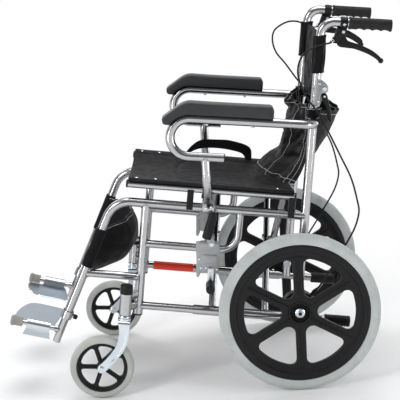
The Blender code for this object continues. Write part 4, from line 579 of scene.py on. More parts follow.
class Grouping(Tree):
    """A geometry tree that repeats a small part and ends as one plain mesh."""

    def __init__(self, name, inputs):
        group = bpy.data.node_groups.new(name, "GeometryNodeTree")
        super().__init__(group)
        self.ids = {}
        group.interface.new_socket("Geometry", in_out="INPUT", socket_type="NodeSocketGeometry")
        for label, kind in inputs:
            made = group.interface.new_socket(label, in_out="INPUT",
                                              socket_type="NodeSocket" + kind)
            self.ids[label] = made.identifier
        group.interface.new_socket("Geometry", in_out="OUTPUT", socket_type="NodeSocketGeometry")
        self.start = group.nodes.new("NodeGroupInput")
        self.end = group.nodes.new("NodeGroupOutput")

    def given(self, label):
        """One of the tree's own inputs."""
        return Wire(self, self.start.outputs[label])

    def close(self, instances):
        """End the tree with plain faces in the given finish."""
        real = self.add("GeometryNodeRealizeInstances", {}, {"Geometry": instances})
        sockets = {"Geometry": real, "Material": self.given("Finish")}
        painted = self.add("GeometryNodeSetMaterial", {}, sockets)
        self.tree.links.new(painted.socket, self.end.inputs[0])

    def make(self, base, **values):
        """The tree's result on a base mesh, as a new shape."""
        holder = bpy.data.objects.new("holder", base)
        bpy.context.collection.objects.link(holder)
        nodes = holder.modifiers.new("nodes", "NODES")
        nodes.node_group = self.tree
        for label, value in values.items():
            nodes[self.ids[label]] = value
        graph = bpy.context.evaluated_depsgraph_get()
        mesh = bpy.data.meshes.new_from_object(holder.evaluated_get(graph))
        holder.modifiers.remove(nodes)
        bpy.data.objects.remove(holder)
        shape = bmesh.new()
        shape.from_mesh(mesh)
        for value in values.values():
            if isinstance(value, bpy.types.Object):
                bpy.data.objects.remove(value)
        return shape


def as_part(shape):
    """A loose object from a shape, for a tree to repeat."""
    bmesh.ops.recalc_face_normals(shape, faces=shape.faces)
    mesh = bpy.data.meshes.new("part")
    shape.to_mesh(mesh)
    shape.free()
    part = bpy.data.objects.new("part", mesh)
    bpy.context.collection.objects.link(part)
    return part


rounds = Grouping("copies_round_an_axle", [("Part", "Object"), ("Count", "Int"),
                                           ("Start", "Float"), ("Finish", "Material")])
points = rounds.add("GeometryNodePoints", {}, {"Count": rounds.given("Count")})
order = rounds.add("GeometryNodeInputIndex", {}, {})
angle = order * (2 * math.pi) / rounds.given("Count") + rounds.given("Start")
spin = rounds.add("ShaderNodeCombineXYZ", {}, {"Y": angle})
source = rounds.add("GeometryNodeObjectInfo", {}, {"Object": rounds.given("Part")}, "Geometry")
rounds.close(rounds.add("GeometryNodeInstanceOnPoints", {},
                        {"Points": points, "Instance": source, "Rotation": spin}))


def moved(shape, by):
    """The same shape, shifted."""
    bmesh.ops.translate(shape, verts=shape.verts, vec=by)
    return shape


def round_axle(shape, count, centre, finish, start=0.0):
    """Copies of a small shape about the Y axis, moved to a wheel's centre."""
    copies = rounds.make(bpy.data.meshes.new("base"), Part=as_part(shape), Count=count,
                         Start=start, Finish=finish.material)
    return moved(copies, centre)


def inset(points, reach):
    """A closed outline moved towards its left side."""
    line = []
    for k, point in enumerate(points):
        back = (point - points[k - 1]).normalized()
        on = (points[(k + 1) % len(points)] - point).normalized()
        way = (back + on).normalized()
        line.append(point + Vector((-way.y, way.x)) * reach / max(0.75, way.dot(on)))
    return line


def cut_sheet(outlines, half, edge, segments=2):
    """A flat board in the XZ plane with rounded edges: the first outline less the others."""
    loops = []
    for index, outline in enumerate(outlines):
        points = [Vector(corner[:2]) for corner in outline]
        turning = sum(a.cross(b) for a, b in zip(points, points[1:] + points[:1]))
        loops.append(points if (turning > 0) == (index == 0) else points[::-1])
    curve = [math.pi / 2 * k / segments for k in range(segments + 1)]
    levels = [(edge * (1 - math.cos(a)), half - edge + edge * math.sin(a)) for a in curve]
    levels = [(reach, -y) for reach, y in reversed(levels)] + levels
    shape = bmesh.new()
    caps = {}
    for points in loops:
        rings = []
        for reach, y in levels:
            rings.append([shape.verts.new((p.x, y, p.y)) for p in inset(points, reach)])
        for low, high in zip(rings, rings[1:]):
            for k in range(len(low)):
                after = (k + 1) % len(low)
                shape.faces.new([low[k], low[after], high[after], high[k]])
        for end in (0, -1):
            caps.setdefault(end, []).append(rings[end])
    for group in caps.values():
        flat = [vert for loop in group for vert in loop]
        scaled = [[Vector((vert.co.x, vert.co.z, 0)) * 1000 for vert in loop] for loop in group]
        for corners in geometry.tessellate_polygon(scaled):
            shape.faces.new([flat[corner] for corner in corners])
    return shape


def joined(*shapes):
    """Several shapes as one."""
    for other in shapes[1:]:
        mesh = bpy.data.meshes.new("other")
        other.to_mesh(mesh)
        other.free()
        shapes[0].from_mesh(mesh)
        bpy.data.meshes.remove(mesh)
    return shapes[0]


def round_outline(radius, steps):
    """A round outline."""
    angles = [2 * math.pi * k / steps for k in range(steps)]
    return [(radius * math.cos(a), radius * math.sin(a)) for a in angles]


def swing(centre, radius, start, end, count):
    """Points (x, z) of an arc between two angles."""
    return [(centre[0] + radius * math.cos(start + (end - start) * k / count),
             centre[1] + radius * math.sin(start + (end - start) * k / count))
            for k in range(count + 1)]


def spoke_windows(count, outer, half_spoke, inner_round, outer_round, first):
    """The rounded windows between a wheel's spokes."""
    sector = math.pi / count
    reach = outer - outer_round
    slant = sector - math.asin((half_spoke + outer_round) / reach)
    square = sector + math.pi / 2
    half = swing(((half_spoke + inner_round) / math.sin(sector), 0), inner_round, math.pi,
                 square, 6)
    half += swing((reach * math.cos(slant), reach * math.sin(slant)), outer_round,
                  square, slant, 9)
    half += swing((0, 0), outer, slant, 0, 6)[1:]
    whole = half + [(x, -z) for x, z in reversed(half[1:-1])]
    windows = []
    for k in range(count):
        middle = first + 2 * math.pi * (k + 0.5) / count
        c, s = math.cos(middle), math.sin(middle)
        windows.append([(x * c - z * s, x * s + z * c) for x, z in whole])
    return windows


tyre_shape = bmesh.new()
wall_profile = [(RIM_R, -0.0100), (0.1745, -0.0128), (0.1785, -0.0135), (0.1850, -0.0134),
                (0.1905, -0.0126), (0.1945, -0.0108), (0.1972, -0.0086)]
tread_profile = []
for groove in (-0.0058, 0.0, 0.0058):
    lip_r = 0.1992 if groove else TYRE_R
    tread_profile += [(lip_r, groove - 0.0010), (0.1984, groove - 0.0004),
                      (0.1984, groove + 0.0004), (lip_r, groove + 0.0010)]
far_wall = [(r, -y) for r, y in reversed(wall_profile)]
turned(tyre_shape, wall_profile + tread_profile + far_wall, WHEEL, Y_AXIS, 128)
sipe = bmesh.new()
for side in (-1, 1):
    sweep(sipe, [Vector((0, side * y, z)) for y, z in
                 ((0.0129, 0.1893), (0.0110, 0.1944), (0.0087, 0.1970))], 0.0010, 6, hint=X_AXIS)
tread = round_axle(sipe, 144, WHEEL, grey_tyre)
pair("rear_tyre", joined(tyre_shape, tread), grey_tyre, "{}_rear_wheel", ["rear_tyre"])

rim_shape = bmesh.new()
rim_half = [(RIM_R, 0.0098), (0.1728, 0.0114), (0.1712, 0.0119), (0.1585, 0.0119),
            (0.1566, 0.0108), (0.1556, 0.0078), (0.1440, 0.0062), (0.1400, 0.0050)]
turned(rim_shape, rim_half + [(r, -y) for r, y in reversed(rim_half)], WHEEL, Y_AXIS, 96)
web_lines = [round_outline(0.1460, 96), round_outline(0.0245, 48)]
windows = spoke_windows(6, 0.1380, 0.0128, 0.018, 0.015, math.pi / 6)
web = moved(cut_sheet(web_lines + windows, 0.0066, 0.0024, 3), WHEEL)
spoke_rib = bmesh.new()
for side in (-1, 1):
    sweep(spoke_rib, [Vector((0, side * y, z)) for y, z in
                      ((0.0052, 0.026), (0.0072, 0.034), (0.0072, 0.134), (0.0066, 0.1450))],
          [0.0018, 0.0018, 0.0018, 0.0016], 10, thin=[0.0024] * 4)
spoke_ribs = round_axle(spoke_rib, 6, WHEEL, plastic)
hub_shape = bmesh.new()
turned(hub_shape, [(0.0070, -0.0078), (0.0112, -0.0078), (0.0122, -0.0064), (0.0128, -0.0026),
                   (0.0240, -0.0026), (0.0243, -0.0090), (0.0250, -0.0097), (0.0272, -0.0097),
                   (0.0282, -0.0088), (0.0290, -0.0060), (0.0310, 0.0), (0.0300, 0.0190),
                   (0.0285, 0.0200), (0.0070, 0.0200)], WHEEL, Y_AXIS, 64)
fin = bmesh.new()
sweep(fin, [Vector((0, -0.0054, 0.0118)), Vector((0, -0.0050, 0.0248))], 0.0009, 8,
      thin=[0.0030, 0.0026])
fins = round_axle(fin, 15, WHEEL, plastic)
boss = bmesh.new()
turned(boss, [(0.0013, -0.0080), (0.0026, -0.0080), (0.0031, -0.0074), (0.0031, -0.0020),
              (0.0013, -0.0020)], Vector((0, 0, 0.0192)), Y_AXIS, 18)
bosses = round_axle(boss, 3, WHEEL, plastic, math.pi)
wheel_shape = joined(rim_shape, web, spoke_ribs, hub_shape, fins, bosses)
pair("rear_rim", wheel_shape, plastic, "{}_rear_wheel", ["rear_rim"], crease=42)

zinc = Finish("bright_zinc", metallic=1.0, specular_tint=(0.35, 0.38, 0.42))
bloom = zinc.noise(24.0, 2.0)
zinc.set("Base Color", zinc.blend(zinc.range(bloom, 0.3, 0.7), (0.69, 0.755, 0.81),
                                  (0.73, 0.78, 0.815)))
zinc.set("Roughness", zinc.range(zinc.noise(18.0, 2.0), 0.25, 0.75, 0.23, 0.27))
zinc.relief(zinc.noise(900.0, 1.0), 0.00001, 0.04)


def hex_head(shape, centre, axis, width, height):
    """A six-sided bolt head on its flange, its corners turned off."""
    flange = width * 0.62
    turned(shape, [(0, 0), (flange, 0), (flange, height * 0.16), (width * 0.52, height * 0.24),
                   (0, height * 0.24)], centre, axis, 24)
    axis = axis.normalized()
    first, second = square_to(axis, Z_AXIS if abs(axis.z) < 0.8 else X_AXIS)
    corners = [first * math.cos(math.pi * k / 3) + second * math.sin(math.pi * k / 3)
               for k in range(6)]
    rings = []
    for share, rise in ((0.5, 0.2), (0.5, 0.86), (0.46, 1.0)):
        level = centre + axis * height * rise
        rings.append([shape.verts.new(level + width * share * corner * 1.12)
                      for corner in corners])
    skin(shape, rings)


axle_shape = bmesh.new()
outer_face = WHEEL_Y - 0.0083
turned(axle_shape, [(0, 0.0002), (0.0118, 0.0002), (0.0118, -0.0010), (0.0098, -0.0022),
                    (0.0088, -0.0030), (0, -0.0030)], Vector((AXLE_X, outer_face, AXLE_Z)), Y_AXIS)
hex_head(axle_shape, Vector((AXLE_X, outer_face - 0.0026, AXLE_Z)), -Y_AXIS, 0.0125, 0.0046)
shank = [Vector((AXLE_X, y, AXLE_Z)) for y in (outer_face, FRAME_Y + 0.019)]
sweep(axle_shape, shank, 0.0060, 20, hint=Z_AXIS)
hex_head(axle_shape, Vector((AXLE_X, FRAME_Y + 0.0113, AXLE_Z)), Y_AXIS, 0.0165, 0.0066)
pair("rear_axle", axle_shape, zinc, "{}_frame", ["rear_axle"])

dust_plug = bmesh.new()
turned(dust_plug, [(0, 0.002), (0.0047, 0.002), (0.0047, -0.0004), (0.0036, -0.0010),
                   (0, -0.0012)], Vector((AXLE_X, outer_face - 0.0072, AXLE_Z)), Y_AXIS, 24)
pair("axle_plug", dust_plug, plastic, "{}_frame")

STOP_AXIS = Vector((1, 0, 1)).normalized()
drum_face = FRAME_Y - TUBE_R - 0.0103
drum_end = WHEEL_Y + 0.0203
DRUM = Vector((AXLE_X, (drum_face + drum_end) / 2, AXLE_Z))
CABLE_STOP = DRUM + STOP_AXIS * 0.067
drum_shape = bmesh.new()
drum_profile = [(radius, drum_face + inward) for radius, inward in
                ((0.0063, 0.010), (0.0120, 0.010), (0.0122, 0.0), (0.0300, 0.0), (0.0315, 0.0012),
                 (0.0385, 0.0012), (0.0400, 0.0), (0.0425, 0.0010), (0.0447, -0.0036))]
turned(drum_shape, drum_profile + [(0.0450, drum_end), (0.0063, drum_end)],
       Vector((AXLE_X, 0, AXLE_Z)), Y_AXIS, 56)
sweep(drum_shape, [CABLE_STOP - STOP_AXIS * 0.028, CABLE_STOP - STOP_AXIS * 0.006, CABLE_STOP],
      [0.0040, 0.0040, 0.0034], 16)
turned(drum_shape, [(0.0, -0.004), (0.0052, -0.004), (0.0052, 0.002), (0, 0.002)],
       CABLE_STOP - STOP_AXIS * 0.010, STOP_AXIS, 6)
pair("hub_brake", drum_shape, plastic, "{}_frame", ["hub_brake"])


# Casters
# Grey solid tyres on black five-spoke wheels, in forks pressed from zinc-plated plate. The
# fork's stem turns in an aluminium housing that is bolted beside the front upright.

CASTER_Y = -0.243
STEM_S, STEM_LOW_H, STEM_HIGH_H = -0.4579, 0.1504, 0.2059
CASTER_TRAIL, CASTER_R = 0.0465, 0.0805
FORK_TOP = rail_point(STEM_S, STEM_LOW_H - 0.0129, CASTER_Y)
ahead_of_stem = rail_point(STEM_S - CASTER_TRAIL, 0, CASTER_Y)
CASTER = ahead_of_stem + SQUARE * ((CASTER_R - ahead_of_stem.z) / SQUARE.z)

caster_rubber = tyre_finish("caster_rubber", (0.41, 0.42, 0.40), (0.49, 0.50, 0.475))
tread_shape = bmesh.new()
caster_profile = [(0.0640, 0.0), (0.0640, -0.0108), (0.0650, -0.0124), (0.0690, -0.0130),
                  (0.0735, -0.0127), (0.0768, -0.0114), (0.0792, -0.0086), (0.0803, -0.0045),
                  (0.0805, 0.0)]
caster_profile += [(r, -y) for r, y in reversed(caster_profile[1:-1])]
turned(tread_shape, caster_profile, CASTER, Y_AXIS, 96)
pair("caster_tyre", tread_shape, caster_rubber, "{}_caster_wheel", ["caster_wheel"],
     slot="grey_tyre")

spoked = bmesh.new()
spoked_half = [(0.0644, 0.0090), (0.0632, 0.0102), (0.0600, 0.0102), (0.0585, 0.0092),
               (0.0560, 0.0062), (0.0550, 0.0050)]
turned(spoked, spoked_half + [(r, -y) for r, y in reversed(spoked_half)], CASTER, Y_AXIS, 72)
windows = spoke_windows(5, 0.0540, 0.0054, 0.004, 0.0062, math.radians(104))
caster_web = moved(cut_sheet([round_outline(0.0575, 72)] + windows, 0.0046, 0.0018), CASTER)
hub_half = [(0.0150, 0.0040), (0.0125, 0.0060), (0.0112, 0.0148), (0.0100, 0.0159),
            (0.0046, 0.0159)]
turned(spoked, [(r, -y) for r, y in reversed(hub_half)] + hub_half, CASTER, Y_AXIS, 40)
stiffener = bmesh.new()
for side in (-1, 1):
    sweep(stiffener, [Vector((0, side * 0.0046, 0.0115)), Vector((0, side * 0.0056, 0.020)),
                      Vector((0, side * 0.0056, 0.0540))], 0.0011, 8, thin=[0.0015] * 3)
stiffeners = round_axle(stiffener, 5, CASTER, plastic, math.radians(-14))
pair("caster_spokes", joined(spoked, caster_web, stiffeners), plastic, "{}_caster_wheel")


def smooth_between(a, b, c, d, t):
    """A point between the knots b and c, on a smooth curve that comes from a and goes to d."""
    return 0.5 * (b * 2 + (c - a) * t + (a * 2 - b * 5 + c * 4 - d) * t ** 2
                  + (b * 3 - a - c * 3 + d) * t ** 3)


def spline_points(knots, per_span):
    """Points of a smooth curve through knots of any size."""
    knots = [Vector(knot) for knot in knots]
    ends = [knots[0] * 2 - knots[1], *knots, knots[-1] * 2 - knots[-2]]
    path = []
    for a, b, c, d in zip(ends, ends[1:], ends[2:], ends[3:]):
        path += [smooth_between(a, b, c, d, k / per_span) for k in range(per_span)]
    return path + [knots[-1]]


def slab(shape, outer, inner):
    """A closed plate between two grids of points."""
    sides = [[[shape.verts.new(p) for p in row] for row in grid] for grid in (outer, inner)]
    rows, columns = len(outer), len(outer[0])
    for side in sides:
        for i in range(rows - 1):
            for j in range(columns - 1):
                shape.faces.new([side[i][j], side[i + 1][j], side[i + 1][j + 1], side[i][j + 1]])
    rim = [(i, 0) for i in range(rows - 1)] + [(rows - 1, j) for j in range(columns - 1)]
    rim += [(i, columns - 1) for i in range(rows - 1, 0, -1)]
    rim += [(0, j) for j in range(columns - 1, 0, -1)]
    for (i, j), (m, n) in zip(rim, rim[1:] + rim[:1]):
        shape.faces.new([sides[0][i][j], sides[0][m][n], sides[1][m][n], sides[1][i][j]])


FORK_HALF, FORK_PLATE, FORK_CORNER, EYE_R = 0.0205, 0.0040, 0.0075, 0.0108
FORK_FLAT, FORK_CHANNEL = FORK_HALF - FORK_CORNER, 0.0016
leg_drop, leg_run = FORK_TOP.z - CASTER.z, FORK_TOP.x - CASTER.x
spine = [(FORK_TOP.x - leg_run * run, FORK_TOP.z - leg_drop * drop, half) for run, drop, half in
         ((0, 0, 0.0140), (0.035, 0.25, 0.0122), (0.19, 0.53, 0.0114), (0.54, 0.775, 0.0104))]
spine.append((CASTER.x, CASTER.z, EYE_R))
leg_line = spline_points(spine, 9)
leg_rows = []
for k, (x, z, half) in enumerate(leg_line):
    a, b = leg_line[max(k - 1, 0)], leg_line[min(k + 1, len(leg_line) - 1)]
    down = Vector((b[0] - a[0], 0, b[1] - a[1])).normalized()
    if k == 0:
        down = -SQUARE
    leg_rows.append((Vector((x, CASTER_Y, z)), down.cross(Y_AXIS).normalized(), half))
a, b = leg_line[-3], leg_line[-1]
last_down = Vector((b[0] - a[0], 0, b[1] - a[1])).normalized()
for k in range(1, 7):
    angle = math.radians(14 * k)
    leg_rows.append((CASTER + last_down * EYE_R * math.sin(angle), leg_rows[-1][1],
                     EYE_R * math.cos(angle)))
outer_leg = []
for k in range(9):
    outer_leg.append((leg_rows[0], -FORK_FLAT * k / 8, Vector((0, 0, 0)), SQUARE))
for k in range(1, 6):
    angle = math.radians(18 * k)
    bend = Y_AXIS * -FORK_CORNER * math.sin(angle) - SQUARE * FORK_CORNER * (1 - math.cos(angle))
    outer_leg.append((leg_rows[0], -FORK_FLAT, bend,
                      SQUARE * math.cos(angle) - Y_AXIS * math.sin(angle)))
for row in leg_rows[3:]:
    outer_leg.append((row, -FORK_HALF, Vector((0, 0, 0)), -Y_AXIS))
ACROSS = [-1.0, -0.9, -0.62, -0.46, -0.3, 0.0, 0.3, 0.46, 0.62, 0.9, 1.0]
fork_outer, fork_inner = [], []
for k, ((centre, normal, half), y, bend, out) in enumerate(outer_leg):
    below_bend, above_eye = (k - 16) / 4, (len(outer_leg) - 12 - k) / 4
    down_leg = min(1.0, max(0.0, below_bend)) * min(1.0, max(0.0, above_eye))
    row_out, row_in = [], []
    for share in ACROSS:
        pressed = 1.0 if abs(share) < 0.4 else 0.4 if abs(share) < 0.5 else 0.0
        point = centre + normal * half * share + Y_AXIS * y + bend
        row_out.append(point - out * FORK_CHANNEL * down_leg * pressed)
        row_in.append(point - out * FORK_PLATE)
    fork_outer.append(row_out)
    fork_inner.append(row_in)


def other_leg(rows):
    """The same rows on the caster's other side, from the far end inwards."""
    return [[Vector((p.x, 2 * CASTER_Y - p.y, p.z)) for p in row] for row in reversed(rows[1:])]


fork_shape = bmesh.new()
slab(fork_shape, other_leg(fork_outer) + fork_outer, other_leg(fork_inner) + fork_inner)
turned(fork_shape, [(0, -0.006), (0.0135, -0.006), (0.0158, -0.003), (0.0164, 0.0008),
                    (0.0158, 0.0044), (0.0134, 0.0056), (0.0134, 0.0064), (0.0148, 0.0072),
                    (0.0154, 0.0094), (0.0144, 0.0118), (0.0122, 0.0125), (0, 0.0125)],
       FORK_TOP, SQUARE, 40)
sweep(fork_shape, [FORK_TOP, FORK_TOP + SQUARE * 0.074], 0.0059, 16)
for side in (-1, 1):
    face = CASTER + Y_AXIS * side * FORK_HALF
    turned(fork_shape, [(0, -0.0005), (0.0078, -0.0005), (0.0078, 0.0006), (0.0070, 0.0010),
                        (0, 0.0010)], face, Y_AXIS * side, 28)
    hex_head(fork_shape, face + Y_AXIS * side * 0.0006, Y_AXIS * side, 0.0098, 0.0036)
sweep(fork_shape, [CASTER - Y_AXIS * 0.022, CASTER + Y_AXIS * 0.022], 0.0039, 14, hint=Z_AXIS)
pair("caster_fork", fork_shape, zinc, "{}_caster_fork", ["caster_fork"], soften=0.0006)

housing_low = rail_point(STEM_S, STEM_LOW_H, CASTER_Y)
housing_high = rail_point(STEM_S, STEM_HIGH_H, CASTER_Y)
housing = bmesh.new()
turned(housing, [(0.0070, 0.0), (0.0142, 0.0), (0.0150, 0.0008), (0.0150, 0.0555),
                 (0.0070, 0.0555)], housing_low, SQUARE, 40)
stem_middle_h = (STEM_LOW_H + STEM_HIGH_H) / 2
beside = rail_point(FRONT_S, stem_middle_h, FRAME_Y)
middle = rail_point(STEM_S, stem_middle_h, CASTER_Y)
for rise in (-0.0135, 0.0135):
    sweep(housing, [middle + SQUARE * rise, beside + SQUARE * rise], 0.0045, 20, thin=[0.0095] * 2,
          hint=SQUARE)
pair("caster_housing", housing, aluminium, "{}_frame", soften=0.0005)
dome = bmesh.new()
turned(dome, [(0, 0.0145), (0.0095, 0.0145), (0.0095, -0.0010), (0.0157, -0.0010),
              (0.0160, -0.0002), (0.0160, 0.0165), (0.0154, 0.0195), (0.0138, 0.0214),
              (0.0105, 0.0226), (0.0, 0.0230)], housing_high, SQUARE, 40)
pair("stem_cap", dome, plastic, "{}_frame")


# Folding brace
# Two welded arms cross under the seat and turn on one pair of bolts. Each has a sleeve that
# turns on the bottom rail of one side, and the round rail that carries the seat on the other.

SEAT_H = UPPER_H + 0.046
SEAT_FRONT_S, SEAT_REAR_S = -0.477, -0.061
SEAT_RAIL_R, STRUT_R, SLEEVE_R, SLEEVE_S = 0.0095, 0.0085, 0.0120, -0.289
FRONT_A, REAR_A, FRONT_B, REAR_B = -0.242, -0.1076, -0.2605, -0.0891


def brace(name, sign, front_s, rear_s, body):
    """One arm: sleeve on one side, two struts, and the seat rail on the other side."""
    foot_y = sign * FRAME_HALF
    shape = bmesh.new()
    turned(shape, [(0.0103, 0.0), (0.0116, 0.0), (SLEEVE_R, 0.0005), (SLEEVE_R, 0.2435),
                   (0.0116, 0.2440), (0.0103, 0.2440)],
           rail_point(SLEEVE_S, BOTTOM_H, foot_y), RAIL, 36)
    sweep(shape, [rail_point(s, SEAT_H, -foot_y) for s in (SEAT_FRONT_S, SEAT_REAR_S)],
          SEAT_RAIL_R)
    for s in (front_s, rear_s):
        low, high = rail_point(s, BOTTOM_H, foot_y), rail_point(s, SEAT_H, -foot_y)
        lean = (high - low).normalized()
        sweep(shape, [low + lean * 0.0105, high], STRUT_R, hint=RAIL)
        weld(shape, low, lean, STRUT_R, RAIL, SLEEVE_R)
        weld(shape, high, -lean, STRUT_R, RAIL, SEAT_RAIL_R)
    piece(name, shape, aluminium, body, [name])
    ends = bmesh.new()
    for s, way in ((SEAT_FRONT_S, -RAIL), (SEAT_REAR_S, RAIL)):
        turned(ends, [(0, -0.002), (SEAT_RAIL_R, -0.002), (0.0099, 0.0), (0.0097, 0.0018),
                      (0.0070, 0.0030), (0, 0.0030)], rail_point(s, SEAT_H, -foot_y), way, 28)
    piece(name + "_plugs", ends, plastic, body)


brace("brace_arm_a", -1, FRONT_A, REAR_A, "brace_a")
brace("brace_arm_b", 1, FRONT_B, REAR_B, "brace_b")
for name, a, b in (("pivot_bolt_front", FRONT_A, FRONT_B), ("pivot_bolt_rear", REAR_A, REAR_B)):
    pivot = bmesh.new()
    low, high = (rail_point(s, (BOTTOM_H + SEAT_H) / 2, 0)
                 for s in (min(a, b) - 0.0088, max(a, b) + 0.0088))
    hex_head(pivot, low, -RAIL, 0.0105, 0.0032)
    hex_head(pivot, high, RAIL, 0.0105, 0.0032)
    sweep(pivot, [low, high], 0.0029, 14)
    piece(name, pivot, zinc, "brace_a", [name])


def laid(shape, origin, x_way, y_way, z_way):
    """Turn a shape made at the origin into three square directions."""
    turn = Matrix((x_way, y_way, z_way)).transposed().to_4x4()
    bmesh.ops.transform(shape, verts=shape.verts, matrix=Matrix.Translation(origin) @ turn)
    return shape


for name, s in (("seat_saddle_front", -0.3194), ("seat_saddle_rear", -0.0680)):
    outline = [(-0.0135, -0.0050), (-0.0108, -0.0036)]
    outline += swing((0, 0), 0.0114, math.radians(162), math.radians(18), 12)
    outline += [(0.0108, -0.0036), (0.0135, -0.0050), (0.0140, 0.004), (0.0118, 0.019),
                (0.0122, 0.034), (0.0138, 0.043)]
    outline += swing((0, SEAT_H - UPPER_H), 0.0102, math.radians(-12), math.radians(-168), 12)
    outline += [(-0.0138, 0.043), (-0.0122, 0.034), (-0.0118, 0.019), (-0.0140, 0.004)]
    saddle = cut_sheet([outline], 0.0080, 0.0011)
    saddle = laid(saddle, rail_point(s, UPPER_H), Y_AXIS, -RAIL, SQUARE)
    pair(name, saddle, plastic, "{}_frame", [name])


# Red band
# A plain band of faded red tape, wound round the right-hand bottom rail ahead of the brace's
# sleeve.

tape = Finish("red_tape", base_color=(0.80, 0.055, 0.020), roughness=0.45, coat_weight=0.1)
faded = tape.noise(120.0, 4.0)
tape.set("Base Color", tape.blend(tape.range(faded, 0.35, 0.75), (0.88, 0.040, 0.012),
                                  (0.78, 0.055, 0.022)))
tape.set("Roughness", tape.range(faded, 0.3, 0.7, 0.42, 0.55))
tape.relief(tape.noise(900.0, 2.0), 0.00003, 0.4)
band = bmesh.new()
turned(band, [(0.0096, 0.0), (0.0112, 0.0), (0.0118, 0.0006), (0.0118, 0.1109), (0.0112, 0.1115),
              (0.0096, 0.1115)], rail_point(-0.4010, BOTTOM_H, FRAME_HALF), RAIL, 32)
piece("red_band", band, tape, "right_frame")


# Footrests
# An aluminium tube slides in the lower end of the leg tube and is clamped by a black knob. A
# pressed zinc-plated plate turns on its rod, which ends in a grey rubber plug.

foot_tube = bmesh.new()
sweep(foot_tube, [LEG_END - LEG * 0.100, LEG_END + LEG * 0.0676, LEG_END + LEG * 0.0686],
      [0.0094, 0.0094, 0.0088])
ROD_RISE = math.radians(15.2)
ROD = Vector((-math.cos(ROD_RISE), 0, math.sin(ROD_RISE)))
ROD_UP = Vector((math.sin(ROD_RISE), 0, math.cos(ROD_RISE)))
ROD_START = LEG_END + LEG * 0.0347
turned(foot_tube, [(0, 0.004), (0.0087, 0.004), (0.0087, 0.0155), (0.0078, 0.0166),
                   (0.0060, 0.0166), (0.0060, 0.1160), (0, 0.1160)], ROD_START, ROD, 28)
weld(foot_tube, ROD_START, ROD, 0.0087, LEG, 0.0094)
pair("footrest_tube", foot_tube, aluminium, "{}_footrest", ["footrest_tube"])

tip_rubber = tyre_finish("tip_rubber", (0.27, 0.265, 0.25), (0.36, 0.35, 0.33))
plug = bmesh.new()
plug_profile = [(0.0062, 0.098), (0.0112, 0.098), (0.0120, 0.0992)]
for step in range(4):
    at = 0.1010 + step * 0.0042
    plug_profile += [(0.0120, at), (0.0120, at + 0.0026), (0.0114, at + 0.0030),
                     (0.0114, at + 0.0038)]
plug_profile += [(0.0120, 0.1180), (0.0128, 0.1186), (0.0135, 0.1196), (0.0135, 0.1244),
                 (0.0128, 0.1252), (0.0120, 0.1256), (0.0118, 0.1274), (0.0090, 0.1280),
                 (0, 0.1280)]
turned(plug, [(0, 0.1000), (0.0062, 0.1000)] + plug_profile, ROD_START, ROD, 36)
pair("rod_plug", plug, tip_rubber, "{}_footrest", slot="grey_tyre")

LEG_FRONT = Vector((math.sin(HANGER_ANGLE), 0, -math.cos(HANGER_ANGLE)))
collar_low = LEG_END - LEG * 0.020
collar = bmesh.new()
turned(collar, [(0.0108, 0.0), (0.0139, 0.0), (0.0145, 0.0007), (0.0145, 0.0203), (0.0139, 0.0210),
                (0.0096, 0.0210), (0.0096, 0.0190), (0.0108, 0.0190)], collar_low, LEG, 40)
collar_middle = (collar_low + LEG_END) / 2
sweep(collar, [collar_middle + LEG_FRONT * reach for reach in (0.011, 0.017)], 0.0060, 18,
      hint=LEG)
pair("leg_collar", collar, aluminium, "{}_frame")
knob = bmesh.new()
turned(knob, [(0, 0.0150), (0.0042, 0.0150), (0.0046, 0.0168), (0.0060, 0.0176), (0.0062, 0.0236),
              (0.0056, 0.0262), (0, 0.0270)], collar_middle, LEG_FRONT, 28)
pair("clamp_knob", knob, plastic, "{}_frame")
nut = bmesh.new()
hex_head(nut, collar_middle + LEG_FRONT * 0.0262, LEG_FRONT, 0.0062, 0.0022)
pair("clamp_nut", nut, zinc, "{}_frame")

PLATE_TILT = math.radians(5.0)
PLATE_IN = Y_AXIS * math.cos(PLATE_TILT) + ROD_UP * math.sin(PLATE_TILT)
PLATE_UP = ROD_UP * math.cos(PLATE_TILT) - Y_AXIS * math.sin(PLATE_TILT)
PLATE_DROP, PLATE_HALF = 0.0085, 0.0015


def round_corners(corners, radius):
    """A closed outline with every corner rounded alike, or by its own radius."""
    radii = radius if isinstance(radius, list) else [radius] * len(corners)
    outline = []
    for k, corner in enumerate(corners):
        before, after = Vector(corners[k - 1]), Vector(corners[(k + 1) % len(corners)])
        corner = Vector(corner)
        back, on = before - corner, after - corner
        reach = min(radii[k], back.length * 0.45, on.length * 0.45)
        start, end = corner + back.normalized() * reach, corner + on.normalized() * reach
        for step in range(5):
            t = step / 4
            outline.append(tuple(start * (1 - t) ** 2 + corner * 2 * t * (1 - t) + end * t * t))
    return outline


plate_corners = [(0.19, 0.055), (0.16, 0.20), (0.065, 0.75), (0.05, 0.93), (0.11, 1.02),
                 (0.66, 1.04), (0.80, 0.96), (0.93, 0.70), (0.985, 0.42), (1.0, 0.19),
                 (0.94, 0.13), (0.70, 0.11), (0.70, 0.055)]
outline = round_corners([(0.126 * a, 0.150 * b) for a, b in plate_corners], 0.012)
board = cut_sheet([outline], PLATE_HALF, 0.0007, 1)
plate_shape = laid(board, ROD_START - PLATE_UP * (PLATE_DROP + PLATE_HALF), ROD, -PLATE_UP,
                   PLATE_IN)
section = [(0.0160, -0.0094), (0.0138, -0.0086), (0.0122, -0.0062)]
HOOD_R = 0.0125
section += [(HOOD_R * math.cos(math.radians(a)), HOOD_R * math.sin(math.radians(a)))
            for a in range(-18, 188, 10)]
section += [(-0.0130, -0.0060), (-0.0142, -0.0140), (-0.0155, -0.0210), (-0.0163, -0.0260)]
hood_outer, hood_inner = [], []
